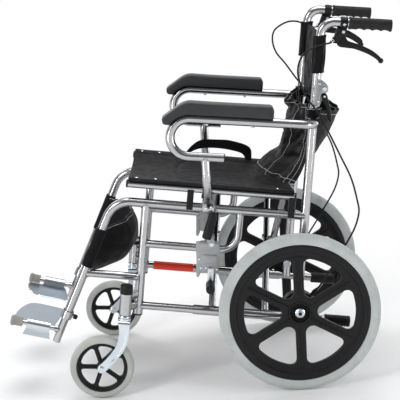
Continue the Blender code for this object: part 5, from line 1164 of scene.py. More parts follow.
for k, (inward, up) in enumerate(section):
    a, b = section[max(k - 1, 0)], section[min(k + 1, len(section) - 1)]
    out = Vector((-(b[1] - a[1]), b[0] - a[0])).normalized() * -1
    flare = 0.006 * min(1.0, max(0.0, (-up - 0.004) / 0.022)) if inward < 0 else 0.0
    for grid, thick in ((hood_outer, 0.0), (hood_inner, 0.0022)):
        spot = Vector((inward, up)) - out * thick
        grid.append([ROD_START + ROD * (0.028 - flare + (0.058 + 2 * flare) * t)
                     + Y_AXIS * spot.x + ROD_UP * spot.y for t in (0.0, 0.03, 0.5, 0.97, 1.0)])
slab(plate_shape, hood_outer, hood_inner)
pair("footplate", plate_shape, zinc, "{}_footplate", ["footplate"], soften=0.0004)


# Armrests
# A bent aluminium tube with a flattened foot bolted to the upper rail, under a firm moulded
# foam pad with a grained skin. Two screws from below hold the pad.

ARM_Y = -0.255
ARM_SLOPE = math.radians(6.5)
ARM_TOP = Vector((AXLE_X - 0.2408, ARM_Y, 0.6957))
ARM = Vector((math.cos(ARM_SLOPE), 0, -math.sin(ARM_SLOPE)))
ARM_UP = Vector((math.sin(ARM_SLOPE), 0, math.cos(ARM_SLOPE)))
ARM_BEND, POST_X = 0.046, AXLE_X - 0.2105
ARM_CENTRE = ARM_TOP - ARM_UP * ARM_BEND
from_axle = ARM_TOP - upright_point(AXLE_Z)
meets = upright_point(AXLE_Z) + UPRIGHT * (ARM_UP.dot(from_axle) / ARM_UP.dot(UPRIGHT))
arm_rear = rounded([ARM_TOP, (meets.x, ARM_Y, meets.z), (meets.x, FRAME_Y - 0.0112, meets.z)],
                   [0.034])
arm_path = list(reversed(arm_rear))[:-1]
for k in range(25):
    arm_path.append(ARM_CENTRE + Matrix.Rotation(-math.pi * k / 24, 3, "Y") @ (ARM_UP * ARM_BEND))
low_start = ARM_CENTRE - ARM_UP * ARM_BEND
arm_end = low_start + ARM * 0.086
arm_path.append(arm_end)
arm_shape = bmesh.new()
sweep(arm_shape, arm_path, TUBE_R, hint=Z_AXIS)
post_top = low_start + ARM * ((POST_X - low_start.x) / ARM.x)
rail_z = rail_point((POST_X - rail_point(0, UPPER_H).x) / RAIL.x, UPPER_H).z
foot_y = FRAME_Y - TUBE_R - 0.0043
post = [(*post_top, TUBE_R, TUBE_R)]
post += [(POST_X, *knot) for knot in (
    (ARM_Y, 0.552, TUBE_R, TUBE_R), (-0.2525, 0.535, TUBE_R, TUBE_R),
    (-0.2430, 0.518, 0.0111, 0.0106), (-0.2315, 0.503, 0.0114, 0.0098),
    (-0.2205, 0.490, 0.0124, 0.0082), (-0.2115, 0.478, 0.0140, 0.0060),
    (foot_y, 0.464, 0.0155, 0.0040), (foot_y, rail_z - 0.0045, 0.0140, 0.0037))]
smooth_post = spline_points(post, 5)
sweep(arm_shape, [Vector(k[:3]) for k in smooth_post], [k[3] for k in smooth_post],
      thin=[k[4] for k in smooth_post])
weld(arm_shape, post_top, -Z_AXIS, TUBE_R, ARM, TUBE_R)
pair("armrest_frame", arm_shape, aluminium, "{}_frame", ["armrest_frame"])
fittings = bmesh.new()
for across_foot, rise in ((-0.0060, 0.0030), (0.0072, 0.0010)):
    spot = Vector((POST_X + across_foot, foot_y - 0.0040, rail_z + rise))
    hex_head(fittings, spot, -Y_AXIS, 0.0066, 0.0030)
for along in (0.040, 0.150):
    hex_head(fittings, ARM_TOP + ARM * along - ARM_UP * 0.0108, -ARM_UP, 0.0078, 0.0034)
pair("armrest_screws", fittings, zinc, "{}_frame")
socket = bmesh.new()
turned(socket, [(0, -0.003), (0.0100, -0.003), (0.0108, -0.0002), (0.0112, 0.0), (0.0110, 0.0016),
                (0.0085, 0.0026), (0, 0.0028)], arm_end, ARM, 28)
pair("armrest_plug", socket, plastic, "{}_frame")

foam = Finish("dark_moulded_foam", specular_ior_level=0.25)
patch = foam.noise(26.0, 4.0)
facing = foam.add("ShaderNodeNewGeometry", {}, {}, "Normal")
up_face = foam.add("ShaderNodeSeparateXYZ", {}, {0: facing}, "Z")
# Painted light: faces that look up are painted a lighter grey, a painted top highlight where the
# lamps fall on the pad.
painted_top_light = foam.range(up_face, 0.55, 1.0, 0.0, 0.55)
skin_tone = foam.blend(patch, (0.034, 0.035, 0.038), (0.048, 0.049, 0.053))
foam.set("Base Color", foam.blend(painted_top_light, skin_tone, (0.105, 0.109, 0.117)))
foam.set("Roughness", foam.range(patch, 0.3, 0.7, 0.46, 0.58))
foam.relief(foam.noise(1300.0, 3.0), 0.00012, 0.7)
under = TUBE_R + 0.0003
pad_rear = ARM_TOP + ARM * 0.198 + ARM_UP * under
pad_outline = [(pad_rear.x, pad_rear.z)]
pad_outline += swing((ARM_CENTRE.x, ARM_CENTRE.z), ARM_BEND + under,
                     math.radians(90) - ARM_SLOPE, math.radians(142), 12)
pad_high = ARM_UP * 0.0305
for along, up in ((-0.0650, 0.0300), (-0.0690, 0.0455), (-0.0251, 0.0812), (-0.0070, 0.0885),
                  (0.0400, 0.0874), (0.1100, 0.0874)):
    point = ARM_CENTRE + ARM * along + ARM_UP * up
    pad_outline.append((point.x, point.z))
for point in (pad_rear + pad_high - ARM * 0.006, pad_rear + pad_high * 0.72):
    pad_outline.append((point.x, point.z))
pad_radii = [0.004] + [0.001] * 13 + [0.008, 0.009, 0.016, 0.014, 0.03, 0.03, 0.008, 0.006]
pad = moved(cut_sheet([round_corners(pad_outline, pad_radii)], 0.0225, 0.0068, 6), (0, ARM_Y, 0))
for cushion in pair("armrest_pad", pad, foam, "{}_frame", ["armrest_pad"], crease=50):
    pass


# Back posts and hinges
# The upper part of the back folds down behind the chair. Each aluminium post turns on a bolt
# between two cast cheeks on the rear upright, and a black sprung latch holds it straight.

HINGE = upright_point(HINGE_Z) + X_AXIS * 0.0196
HANDLE_CORNER = upright_point(0.9016)
HANDLE_DROP = math.radians(6.65)
HANDLE = Vector((math.cos(HANDLE_DROP), 0, -math.sin(HANDLE_DROP)))
HANDLE_UP = Vector((math.sin(HANDLE_DROP), 0, math.cos(HANDLE_DROP)))


def handle_point(along, up=0.0):
    """A point on the push handle's line, measured from its bend's corner."""
    return HANDLE_CORNER + HANDLE * along + HANDLE_UP * up


post_start = upright_point(HINGE_Z + 0.0010)
post_shape = bmesh.new()
sweep(post_shape, rounded([post_start, HANDLE_CORNER, handle_point(0.1647)], [0.032]), TUBE_R)
knuckle = [(post_start.x, post_start.z + 0.0010), (HINGE.x + 0.002, post_start.z + 0.0010)]
knuckle += swing((HINGE.x, HINGE.z), 0.0078, math.radians(-55), math.radians(70), 7)
knuckle += [(HINGE.x - 0.002, post_start.z + 0.0150), (post_start.x, post_start.z + 0.0155)]
ear = moved(cut_sheet([round_corners(knuckle, 0.0015)], 0.0103, 0.0010, 1), (0, FRAME_Y, 0))
pair("back_post", joined(post_shape, ear), aluminium, "{}_back", ["back_post"])

casting = Finish("cast_alloy", metallic=0.85, specular_tint=(0.8, 0.8, 0.82))
mottle = casting.noise(140.0, 4.0)
casting.set("Base Color", casting.blend(mottle, (0.34, 0.35, 0.365), (0.45, 0.46, 0.47)))
casting.set("Roughness", casting.range(casting.noise(420.0, 2.0), 0.3, 0.7, 0.36, 0.5))
casting.relief(casting.noise(1600.0, 2.0), 0.00006, 0.7)


def board_at(outline, y, half, edge, radius, segments=2):
    """A flat board with rounded corners and edges, at a distance across the chair."""
    return moved(cut_sheet([round_corners(outline, radius)], half, edge, segments), (0, y, 0))


LATCH_PIVOT = HINGE - Z_AXIS * 0.0195
CHEEK_HALF = 0.0015
cheek_foot = upright_point(HINGE_Z - 0.043)
cheek = [(cheek_foot.x + 0.0005, HINGE_Z - 0.043), (cheek_foot.x + 0.0150, HINGE_Z - 0.044),
         (HINGE.x - 0.0045, LATCH_PIVOT.z - 0.0095), (HINGE.x + 0.006, LATCH_PIVOT.z - 0.0055),
         (HINGE.x + 0.0055, LATCH_PIVOT.z + 0.0065), (HINGE.x + 0.009, HINGE_Z - 0.007),
         (HINGE.x + 0.009, HINGE_Z + 0.007), (HINGE.x - 0.0025, HINGE_Z + 0.017),
         (HINGE.x - 0.0125, HINGE_Z + 0.0240), (HINGE.x - 0.0165, HINGE_Z + 0.0240)]
cheek_y = TUBE_R + 0.0004 + CHEEK_HALF
ear_root = upright_point(HINGE_Z - 0.018).x + 0.0105
open_cheek = [cheek[0], (cheek_foot.x + 0.0112, HINGE_Z - 0.044), (ear_root, HINGE_Z - 0.018),
              (ear_root + 0.0030, HINGE_Z - 0.0105), (HINGE.x + 0.004, HINGE_Z - 0.0098)]
open_cheek += cheek[-5:]
bracket = joined(board_at(open_cheek, FRAME_Y - cheek_y, CHEEK_HALF, 0.0006, 0.004),
                 board_at(cheek, FRAME_Y + cheek_y, CHEEK_HALF, 0.0006, 0.004))
pair("back_hinge_bracket", bracket, casting, "{}_frame", ["back_hinge_bracket"])
bolts = bmesh.new()
for side in (-1, 1):
    face = Y_AXIS * side * (cheek_y + 0.0014)
    hex_head(bolts, HINGE + face, Y_AXIS * side, 0.0092, 0.0040)
    for rise in (0.013, -0.030):
        spot = upright_point(HINGE_Z + rise) + X_AXIS * 0.006
        turned(bolts, [(0, 0), (0.0030, 0), (0.0027, 0.0010), (0.0014, 0.0016), (0, 0.0018)],
               spot + face, Y_AXIS * side, 20)
turned(bolts, [(0, 0), (0.0030, 0), (0.0028, -0.0012), (0, -0.0018)],
       LATCH_PIVOT - Y_AXIS * 0.0088, Y_AXIS, 18)
sweep(bolts, [HINGE - Y_AXIS * cheek_y, HINGE + Y_AXIS * cheek_y], 0.0039, 16, hint=Z_AXIS)
sweep(bolts, [LATCH_PIVOT - Y_AXIS * 0.0090, LATCH_PIVOT + Y_AXIS * cheek_y], 0.0027, 12,
      hint=Z_AXIS)
pair("hinge_bolts", bolts, zinc, "{}_frame")


def closed_curve(knots):
    """A smooth closed outline through its corners."""
    knots = [Vector(knot) for knot in knots]
    per_span = 6
    path = []
    for k in range(len(knots)):
        a, b, c, d = (knots[(k + step) % len(knots)] for step in (-1, 0, 1, 2))
        path += [smooth_between(a, b, c, d, step / per_span) for step in range(per_span)]
    return [tuple(point) for point in path]


latch_line = [(-0.0058, -0.001), (-0.004, 0.0052), (0.002, 0.0062), (0.0066, 0.002),
              (0.0096, -0.014), (0.0128, -0.028), (0.0153, -0.050), (0.0150, -0.062),
              (0.0095, -0.0625), (0.0062, -0.050), (0.0022, -0.030), (-0.0030, -0.014)]
latch_curve = closed_curve([(LATCH_PIVOT.x + x, LATCH_PIVOT.z + z) for x, z in latch_line])
latch = moved(cut_sheet([latch_curve], 0.0088, 0.0028, 3), (0, FRAME_Y, 0))
pair("hinge_latch", latch, plastic, "{}_latch", ["hinge_latch"])


# Push grips
# Moulded rubber over the handle tube, with fine ribs above for the palm, four finger hollows
# below and a closed end.

GRIP_START, GRIP_LENGTH, GRIP_R, GRIP_END_ROUND = 0.0655, 0.1035, 0.0142, 0.003
HOLLOWS_START, HOLLOWS_END, HOLLOW_PITCH, GRIP_RIB_PITCH = 0.017, 0.0985, 0.0204, 0.0022
grip_rubber = Finish("grip_rubber", specular_ior_level=0.22)
handled = grip_rubber.noise(48.0, 4.0)
grip_rubber.set("Base Color", grip_rubber.blend(handled, (0.012, 0.012, 0.013),
                                                (0.022, 0.022, 0.023)))
grip_rubber.set("Roughness", grip_rubber.range(handled, 0.3, 0.7, 0.48, 0.6))
grip_rubber.relief(grip_rubber.noise(1900.0, 2.0), 0.0001, 0.7)


def grip_radius(along, angle):
    """The grip's radius; the angle is measured from straight up."""
    radius = GRIP_R
    low = max(0.0, -math.cos(angle))
    if HOLLOWS_START < along < HOLLOWS_END:
        hollow = abs(math.sin(math.pi * (along - HOLLOWS_END) / HOLLOW_PITCH)) ** 0.8
        radius += low ** 1.5 * (0.0013 - 0.0032 * hollow)
    elif along >= HOLLOWS_END:
        radius += low ** 1.5 * 0.0013
    band = max(0.0, math.cos((abs(angle) - 0.55) * 4.2)) if abs(angle) < 0.95 else 0.0
    if 0.024 < along < 0.054 or 0.084 < along < 0.099:
        radius += 0.0006 * band * (0.5 + 0.5 * math.cos(2 * math.pi * along / GRIP_RIB_PITCH))
    radius += 0.0013 * math.exp(-((along - 0.0018) / 0.0028) ** 2)
    return radius


grip_shape = bmesh.new()
grip_rings = []
GRIP_SIDES, GRIP_ROWS = 56, 188
for k in range(GRIP_ROWS + 1):
    along = GRIP_LENGTH * k / GRIP_ROWS
    end = max(0.0, (along - (GRIP_LENGTH - GRIP_END_ROUND)) / GRIP_END_ROUND)
    ring_points = []
    for step in range(GRIP_SIDES):
        angle = 2 * math.pi * step / GRIP_SIDES
        angle = angle - 2 * math.pi if angle > math.pi else angle
        radius = grip_radius(along, angle) - 0.0022 * (1 - math.sqrt(max(0.0, 1 - end * end)))
        spot = handle_point(GRIP_START + along, radius * math.cos(angle))
        ring_points.append(grip_shape.verts.new(spot + Y_AXIS * radius * math.sin(angle)))
    grip_rings.append(ring_points)
skin(grip_shape, grip_rings)
pair("handle_grip", grip_shape, grip_rubber, "{}_back", ["handle_grip"], slot="black_plastic",
     crease=60)


# Hand brakes
# A moulded bracket clamps on the handle. Lever and lock trigger turn on its screw, and the
# cable leaves through a plated ferrule.

BRAKE_ALONG = 0.0535
BRAKE_PIVOT = handle_point(BRAKE_ALONG, -0.0215)
LEVER_Y = FRAME_Y + 0.0015


def at_pivot(outline):
    """Corners given from the brake lever's pivot, in the handle's plane."""
    return [(BRAKE_PIVOT.x + x, BRAKE_PIVOT.z + z) for x, z in outline]


clamp = bmesh.new()
turned(clamp, [(0.0113, -0.009), (0.0135, -0.009), (0.0145, -0.0078), (0.0145, 0.0078),
               (0.0135, 0.009), (0.0113, 0.009)], handle_point(BRAKE_ALONG), HANDLE, 40)
cheek_line = at_pivot([(-0.0125, 0.014), (0.0085, 0.0120), (0.0085, -0.0045), (0.001, -0.0075),
                       (-0.0080, -0.0165), (-0.0155, -0.0270), (-0.0275, -0.0245),
                       (-0.0205, -0.006)])
saddle_line = at_pivot([(-0.0125, 0.0145), (0.0085, 0.0125), (0.0085, 0.0070), (-0.0125, 0.0080)])
mouth_line = at_pivot([(-0.0255, -0.0110), (-0.0195, -0.0110), (-0.0195, -0.0262),
                       (-0.0272, -0.0245)])
for side in (-1, 1):
    clamp = joined(clamp, board_at(cheek_line, FRAME_Y + side * 0.00675, 0.00125, 0.0006, 0.003))
clamp = joined(clamp, board_at(saddle_line, FRAME_Y, 0.0080, 0.0012, 0.001),
               board_at(mouth_line, FRAME_Y, 0.0080, 0.0012, 0.002))
pair("hand_brake_body", clamp, plastic, "{}_back", ["hand_brake_body"])
bright = bmesh.new()
for side in (-1, 1):
    face = BRAKE_PIVOT + Y_AXIS * side * 0.0078
    turned(bright, [(0, 0), (0.0040, 0), (0.0040, 0.0008), (0.0034, 0.0016), (0.0016, 0.0016),
                    (0.0014, 0.0008), (0, 0.0008)], face, Y_AXIS * side, 24)
sweep(bright, [BRAKE_PIVOT + Y_AXIS * across for across in (-0.0085, 0.0085)], 0.0029, 14,
      hint=Z_AXIS)
screw_at = handle_point(BRAKE_ALONG, -0.0030) - Y_AXIS * 0.0138
hex_head(bright, screw_at, -Y_AXIS, 0.0056, 0.0026)
hex_head(bright, handle_point(BRAKE_ALONG, 0.0142), HANDLE_UP, 0.0085, 0.0026)
FERRULE = Vector((-0.62, -0.76, -0.20)).normalized()
mouth = BRAKE_PIVOT + Vector((-0.0240, -0.0050, -0.0190)) + FERRULE * 0.012
turned(bright, [(0, -0.014), (0.0040, -0.014), (0.0040, -0.0085), (0.0033, -0.0080),
                (0.0033, -0.0062), (0.0040, -0.0056), (0.0040, -0.0014), (0.0034, 0.0), (0, 0.0)],
       mouth, FERRULE, 24)
pair("hand_brake_screws", bright, zinc, "{}_back")

lever_line = [(-0.0065, 0.0042), (0.0040, 0.0050), (0.0058, -0.0100), (0.0105, -0.0215),
              (0.0260, -0.0285), (0.0435, -0.0355), (0.0672, -0.0485), (0.0830, -0.0615),
              (0.0895, -0.0695), (0.0925, -0.0760), (0.0880, -0.0800), (0.0825, -0.0765),
              (0.0765, -0.0700), (0.0570, -0.0570), (0.0270, -0.0435), (0.0080, -0.0395),
              (-0.0120, -0.0345), (-0.0160, -0.0210)]
lever = moved(cut_sheet([closed_curve(at_pivot(lever_line))], 0.0033, 0.0014, 3), (0, LEVER_Y, 0))
ball = bmesh.new()
BALL_R, BALL_HALF = 0.0066, 0.0062
ball_profile = [(BALL_R * math.sin(math.radians(a)), -BALL_HALF * math.cos(math.radians(a)))
                for a in range(15, 166, 15)]
ball_profile = [(0, -BALL_HALF), *ball_profile, (0, BALL_HALF)]
ball_at = Vector((BRAKE_PIVOT.x + 0.0885, LEVER_Y, BRAKE_PIVOT.z - 0.0752))
turned(ball, ball_profile, ball_at, Y_AXIS, 28)
pair("hand_brake_lever", joined(lever, ball), plastic, "{}_brake_lever", ["hand_brake_lever"])

lock_line = [(-0.0045, 0.0035), (0.0030, 0.0045), (0.0120, 0.0028), (0.0264, -0.0060),
             (0.0390, -0.0160), (0.0450, -0.0235), (0.0448, -0.0300), (0.0400, -0.0305),
             (0.0345, -0.0235), (0.0200, -0.0125), (0.0045, -0.0060), (-0.0040, -0.0045)]
lock_curve = closed_curve(at_pivot(lock_line))
lock = moved(cut_sheet([lock_curve], 0.0013, 0.0006, 2), (0, FRAME_Y - 0.0037, 0))
pair("hand_brake_lock", lock, plastic, "{}_brake_lock", ["hand_brake_lock"])


# Brake cables
# Black sheathed cables run from the hand brakes past the upright's clip to the hub brakes.
# Each is held at both ends and in the middle. A route is (x, distance outward, height).

LEFT_ROUTE = [(0.0780, 0.0210, 0.8470), (0.0450, 0.0230, 0.8337), (0.0275, 0.0250, 0.8106),
              (0.0230, 0.0270, 0.7795), (0.0335, 0.0270, 0.7426), (0.0470, 0.0255, 0.7150)]
RIGHT_ROUTE = [(0.0800, 0.0215, 0.8590), (0.0560, 0.0230, 0.8690), (0.0280, 0.0240, 0.8680),
               (-0.0030, 0.0245, 0.8500), (-0.0112, 0.0255, 0.8230), (-0.0030, 0.0270, 0.7890),
               (0.0200, 0.0270, 0.7576), (0.0430, 0.0255, 0.7230)]
LOWER_ROUTE = [(0.0600, 0.0245, 0.6980), (0.0745, 0.0250, 0.6700), (0.0893, 0.0290, 0.6405),
               (0.1163, 0.0330, 0.5797), (0.1412, 0.0360, 0.5211), (0.1541, 0.0380, 0.4653),
               (0.1568, 0.0390, 0.4349), (0.1445, 0.0390, 0.3951), (0.1180, 0.0390, 0.3500),
               (0.0880, 0.0385, 0.3030)]
SIDES = (("left", -1), ("right", 1))
for (side, sign), upper in zip(SIDES, (LEFT_ROUTE, RIGHT_ROUTE)):
    out = Vector((1, -sign, 1))
    leaving = FERRULE * out
    start, stop = mouth * out, CABLE_STOP * out
    knots = [start - leaving * 0.001, start + leaving * 0.010]
    knots += [Vector((AXLE_X + x, sign * (FRAME_HALF + away), z))
              for x, away, z in upper + LOWER_ROUTE]
    knots += [stop + STOP_AXIS * 0.012, stop - STOP_AXIS * 0.001]
    cable = bmesh.new()
    sweep(cable, spline_points(knots, 9), 0.0023, 12, hint=Z_AXIS)
    sheath = piece("brake_cable_" + side, cable, plastic, None, ["brake_cable_" + side])
    low, high = (upright_point(z, sign * FRAME_HALF) for z in (0.70, 0.80))
    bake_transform(sheath)
clip = bmesh.new()
clip_at = upright_point(0.698)
loop = [clip_at + X_AXIS * 0.0135 * math.cos(a) + Y_AXIS * 0.0135 * math.sin(a)
        + Z_AXIS * 0.004 * math.cos(a) for a in (math.radians(12 * k) for k in range(30))]
sweep(clip, loop, 0.0011, 10, centre=clip_at)
sweep(clip, [clip_at - Y_AXIS * 0.0135, clip_at - Y_AXIS * 0.019 - X_AXIS * 0.0045,
             clip_at - Y_AXIS * 0.0265 + X_AXIS * 0.0010], 0.0011, 10, hint=Z_AXIS)
pair("cable_clip", clip, zinc, "{}_frame")


# Parking brakes
# A die-cast clamp on the middle rail carries a lever with a black grip, which swings a ribbed
# black peg against the tyre.

PARK = rail_point(-0.262, MIDDLE_H)
LEVER_PIVOT = PARK + Vector((0.0070, 0, 0.0165))
SHOE_PIVOT = PARK + Vector((0.0010, 0, -0.0500))
PEG = SHOE_PIVOT + Vector((-0.0033, 0, -0.0355))
CHEEK_Y = FRAME_Y - LIGHT_R - 0.0003 - 0.0065 - 0.0040
ARM_FACE, LINK_HALF = CHEEK_Y - 0.0015, 0.0020


def near_park(outline):
    """Corners given from the clamp's middle, in the side view."""
    return [(PARK.x + x, PARK.z + z) for x, z in outline]


def link_plate(low, low_r, high, high_r):
    """A flat link, round about each of its two pivots."""
    way = (high - low).normalized()
    side_way = Vector((way.z, 0, -way.x))
    line = []
    for centre, radius, turn_from in ((low, low_r, 0), (high, high_r, 180)):
        for step in range(9):
            a = math.radians(turn_from + 22.5 * step)
            p = centre + side_way * radius * math.cos(a) - way * radius * math.sin(a)
            line.append((p.x, p.z))
    return moved(cut_sheet([line], LINK_HALF, 0.0006, 2), (0, ARM_FACE - LINK_HALF, 0))


block = [(-0.0235, -0.0155), (0.0235, -0.0155), (0.0235, 0.0165), (-0.0235, 0.0165)]
tilted = [(x * RAIL.x + z * SQUARE.x, x * RAIL.z + z * SQUARE.z) for x, z in block]
body = board_at(near_park(tilted), FRAME_Y - 0.0010, 0.0155, 0.0022, 0.004, 3)
main = board_at(near_park([(-0.032, 0.0255), (0.024, 0.022), (0.028, 0.0), (0.020, -0.0575),
                           (0.008, -0.0625), (-0.026, -0.0525), (-0.033, -0.0255)]),
                CHEEK_Y + 0.0020, 0.0020, 0.0008, 0.005)
upper_line = near_park([(-0.024, 0.0215), (0.024, 0.0180), (0.0235, 0.004), (-0.025, 0.0065)])
upper_plate = board_at(upper_line, CHEEK_Y - 0.0010, 0.0016, 0.0006, 0.003)
lower_line = near_park([(-0.016, -0.010), (0.019, -0.0125), (0.0165, -0.034), (-0.018, -0.0315)])
lower_plate = board_at(lower_line, CHEEK_Y - 0.0010, 0.0016, 0.0006, 0.003)
horn = board_at(near_park([(-0.033, -0.022), (-0.024, -0.022), (-0.024, -0.055), (-0.030, -0.068),
                           (-0.036, -0.066)]), CHEEK_Y + 0.0036, 0.0020, 0.0008, 0.003)
pair("parking_brake_bracket", joined(body, main, upper_plate, lower_plate, horn), casting,
     "{}_frame", ["parking_brake_bracket"])
rivets = bmesh.new()
for pivot in (LEVER_PIVOT, SHOE_PIVOT):
    spot = Vector((pivot.x, ARM_FACE - 0.0040, pivot.z))
    hex_head(rivets, spot, -Y_AXIS, 0.0092, 0.0030)
    sweep(rivets, [spot + Y_AXIS * 0.009, spot], 0.0039, 14, hint=Z_AXIS)
for x, z in ((-0.026, -0.020), (-0.023, -0.043), (0.008, -0.026), (-0.010, -0.044),
             (0.016, -0.050)):
    spot = Vector((PARK.x + x, CHEEK_Y + 0.0001, PARK.z + z))
    turned(rivets, [(0, 0.001), (0.0036, 0.001), (0.0036, -0.0004), (0.0030, -0.0014),
                    (0.0012, -0.0018), (0, -0.0018)], spot, Y_AXIS, 18)
pair("parking_brake_bolts", rivets, zinc, "{}_frame")

grip_low = LEVER_PIVOT + Vector((-0.0125, 0, 0.0170))
grip_top = LEVER_PIVOT + Vector((0.0105, 0, 0.0830))
link_end = grip_low + (grip_top - grip_low) * 0.2
pair("parking_lever_link", link_plate(LEVER_PIVOT, 0.0085, link_end, 0.0070), casting,
     "{}_parking_lever")
grip_y = ARM_FACE - 0.0110
handle_knots = [Vector((grip_low.x, grip_y, grip_low.z)) + (grip_top - grip_low) * t
                for t in (0.0, 0.02, 0.06, 0.5, 0.84, 0.93, 0.98, 1.0)]
grip_bar = bmesh.new()
sweep(grip_bar, handle_knots, [0.0090, 0.0110, 0.0118, 0.0118, 0.0114, 0.0102, 0.0072, 0.0030], 32,
      thin=[0.0064, 0.0080, 0.0086, 0.0090, 0.0088, 0.0078, 0.0056, 0.0024])
sweep(grip_bar, [Vector((grip_low.x, y, grip_low.z + 0.006)) for y in (ARM_FACE - 0.002, grip_y)],
      0.0050, 16, hint=Z_AXIS)
pair("parking_brake_lever", grip_bar, plastic, "{}_parking_lever", ["parking_brake_lever"])

pair("parking_shoe_arm", link_plate(SHOE_PIVOT, 0.0080, PEG, 0.0075), zinc, "{}_parking_shoe")
peg = bmesh.new()
PEG_R, PEG_GROOVE_R = 0.0110, 0.0098
peg_profile = [(0, 0.0), (0.0106, 0.0), (PEG_R, -0.0006)]
for rib in range(8):
    out = -rib * 0.0062
    peg_profile += [(PEG_R, out - 0.0018), (PEG_R, out - 0.0052),
                    (PEG_GROOVE_R, out - 0.0058), (PEG_GROOVE_R, out - 0.0074)]
peg_profile += [(0.0106, -0.0514), (0.0090, -0.0520), (0, -0.0520)]
turned(peg, peg_profile, Vector((PEG.x, ARM_FACE - 0.0030, PEG.z)), Y_AXIS, 36)
pair("parking_brake_shoe", peg, plastic, "{}_parking_shoe", ["parking_brake_shoe"])


# Seat
# Doubled black polyester cloth, stretched between the two seat rails and hemmed over them, with
# a quilted panel, snap studs near its corners and a short lifting strap at its right edge.

cloth = Finish("black_cloth", sheen_weight=0.02, sheen_roughness=0.4, specular_ior_level=0.10)
fade = cloth.noise(9.0, 4.0)
crumple = cloth.noise(60.0, 5.0)
cloth.set("Base Color", cloth.blend(cloth.range(fade * 0.7 + crumple * 0.3, 0.35, 0.65),
                                    (0.0036, 0.0036, 0.0044), (0.0080, 0.0080, 0.0092)))
spot_x, spot_y, spot_z = (cloth.add("ShaderNodeSeparateXYZ", {}, {0: cloth.place}, axis)
                          for axis in "XYZ")
YARN_RATE = 5200.0
warp = ((spot_x + spot_z * 0.9) * YARN_RATE).sine()
weft = ((spot_y + spot_z * 0.8 - spot_x * 0.15) * YARN_RATE).sine()
cloth.set("Roughness", cloth.range(crumple, 0.3, 0.7, 0.52, 0.68))
cloth_height = warp * weft * 0.012 + crumple * 0.55 + fade * 2.2 + cloth.noise(170.0, 3.0) * 0.10
cloth.relief(cloth_height, 0.0011, 0.6)

thread = Finish("white_thread", base_color=(0.62, 0.62, 0.60), roughness=0.6)
thread.set("Base Color", thread.blend(thread.noise(300.0, 2.0), (0.66, 0.66, 0.64),
                                      (0.85, 0.85, 0.83)))
thread.relief(thread.noise(4000.0, 1.0), 0.00005, 0.6)

seam = Grouping("stitches_along_a_seam", [("Part", "Object"), ("Pitch", "Float"),
                                          ("Finish", "Material")])
line = seam.add("GeometryNodeMeshToCurve", {}, {0: seam.given("Geometry")})
holes = seam.add("GeometryNodeCurveToPoints", {"mode": "LENGTH"},
                 {"Curve": line, "Length": seam.given("Pitch")})
along_line = Wire(seam, holes.socket.node.outputs["Rotation"])
one_stitch = seam.add("GeometryNodeObjectInfo", {}, {"Object": seam.given("Part")}, "Geometry")
seam.close(seam.add("GeometryNodeInstanceOnPoints", {},
                    {"Points": holes, "Instance": one_stitch, "Rotation": along_line}))
STITCH_PITCH, STITCH_LENGTH, STITCH_R = 0.0046, 0.0038, 0.00048


def stitching(name, paths, body, follow=None, yarn=thread):
    """Stitches along paths that lie on the cloth."""
    base = bpy.data.meshes.new("seam")
    spots, edges = [], []
    for path in paths:
        edges += [(len(spots) + k, len(spots) + k + 1) for k in range(len(path) - 1)]
        spots += [tuple(p) for p in path]
    base.from_pydata(spots, edges, [])
    stitch = bmesh.new()
    sweep(stitch, [Vector((0, 0, z * STITCH_LENGTH)) for z in (-0.5, -0.3, 0.3, 0.5)],
          [STITCH_R * 0.4, STITCH_R, STITCH_R, STITCH_R * 0.4], 6)
    shape = seam.make(base, Part=as_part(stitch), Pitch=STITCH_PITCH, Finish=yarn.material)
    made = piece(name, shape, yarn, body, slot="black_cloth")
    if follow:
        follow(made)
    return made


def smoothstep(low, high, value):
    """From 0 at the one value to 1 at the other, without a corner."""
    t = min(1.0, max(0.0, (value - low) / (high - low)))
    return t * t * (3 - 2 * t)


def wrinkle(x, y, z, size, seed=0.0):
    """A smooth random height from -1 to 1, always the same for the same place."""
    return noise.noise(Vector((x / size + seed, y / size - seed, z / size)))


def draped(middle, columns, rows, thickness):
    """A closed sheet about a surface: middle(u, v) gives its points, u and v from 0 to 1."""
    grid = [[Vector(middle(i / columns, j / rows)) for j in range(rows + 1)]
            for i in range(columns + 1)]
    outer, inner = [], []
    for i in range(columns + 1):
        up, down = [], []
        for j in range(rows + 1):
            across = grid[min(i + 1, columns)][j] - grid[max(i - 1, 0)][j]
            along = grid[i][min(j + 1, rows)] - grid[i][max(j - 1, 0)]
            normal = across.cross(along).normalized() * thickness / 2
            up.append(grid[i][j] + normal)
            down.append(grid[i][j] - normal)
        outer.append(up)
        inner.append(down)
    shape = bmesh.new()
    slab(shape, outer, inner)
    return shape


SEAT_EDGE, SEAT_CUT_S, SEAT_CUT = 0.204, -0.475, 0.410


def seat_height(s, y):
    """The seat cloth's middle surface above the rails' base line."""
    inside = max(0.0, 1 - (y / 0.1855) ** 2)
    height = SEAT_H + 0.0095 + 0.0028 - 0.012 * inside
    height += 0.0015 * wrinkle(s * 0.8, y * 0.6, 0, 0.075) * min(1.0, inside * 3)
    height += 0.0005 * wrinkle(s, y, 0, 0.028, 7.0) * min(1.0, inside * 3)
    ridge = 0.0014 * math.exp(-((s + 0.300 + 0.55 * abs(y) * abs(y) + 0.03 * y) / 0.010) ** 2)
    height += ridge * smoothstep(0.0, 0.4, inside)
    quilt = abs((s + 0.185) / 0.172) ** 4 + abs(y / 0.150) ** 4
    height -= 0.0022 * math.exp(-((quilt - 1) / 0.085) ** 2)
    height += 0.0011 * smoothstep(0.163, 0.168, abs(y))
    height += 0.0008 * smoothstep(0.016, 0.012, min(s - SEAT_CUT_S, SEAT_CUT_S + SEAT_CUT - s))
    return height - 0.0045 * smoothstep(0.196, SEAT_EDGE, abs(y))


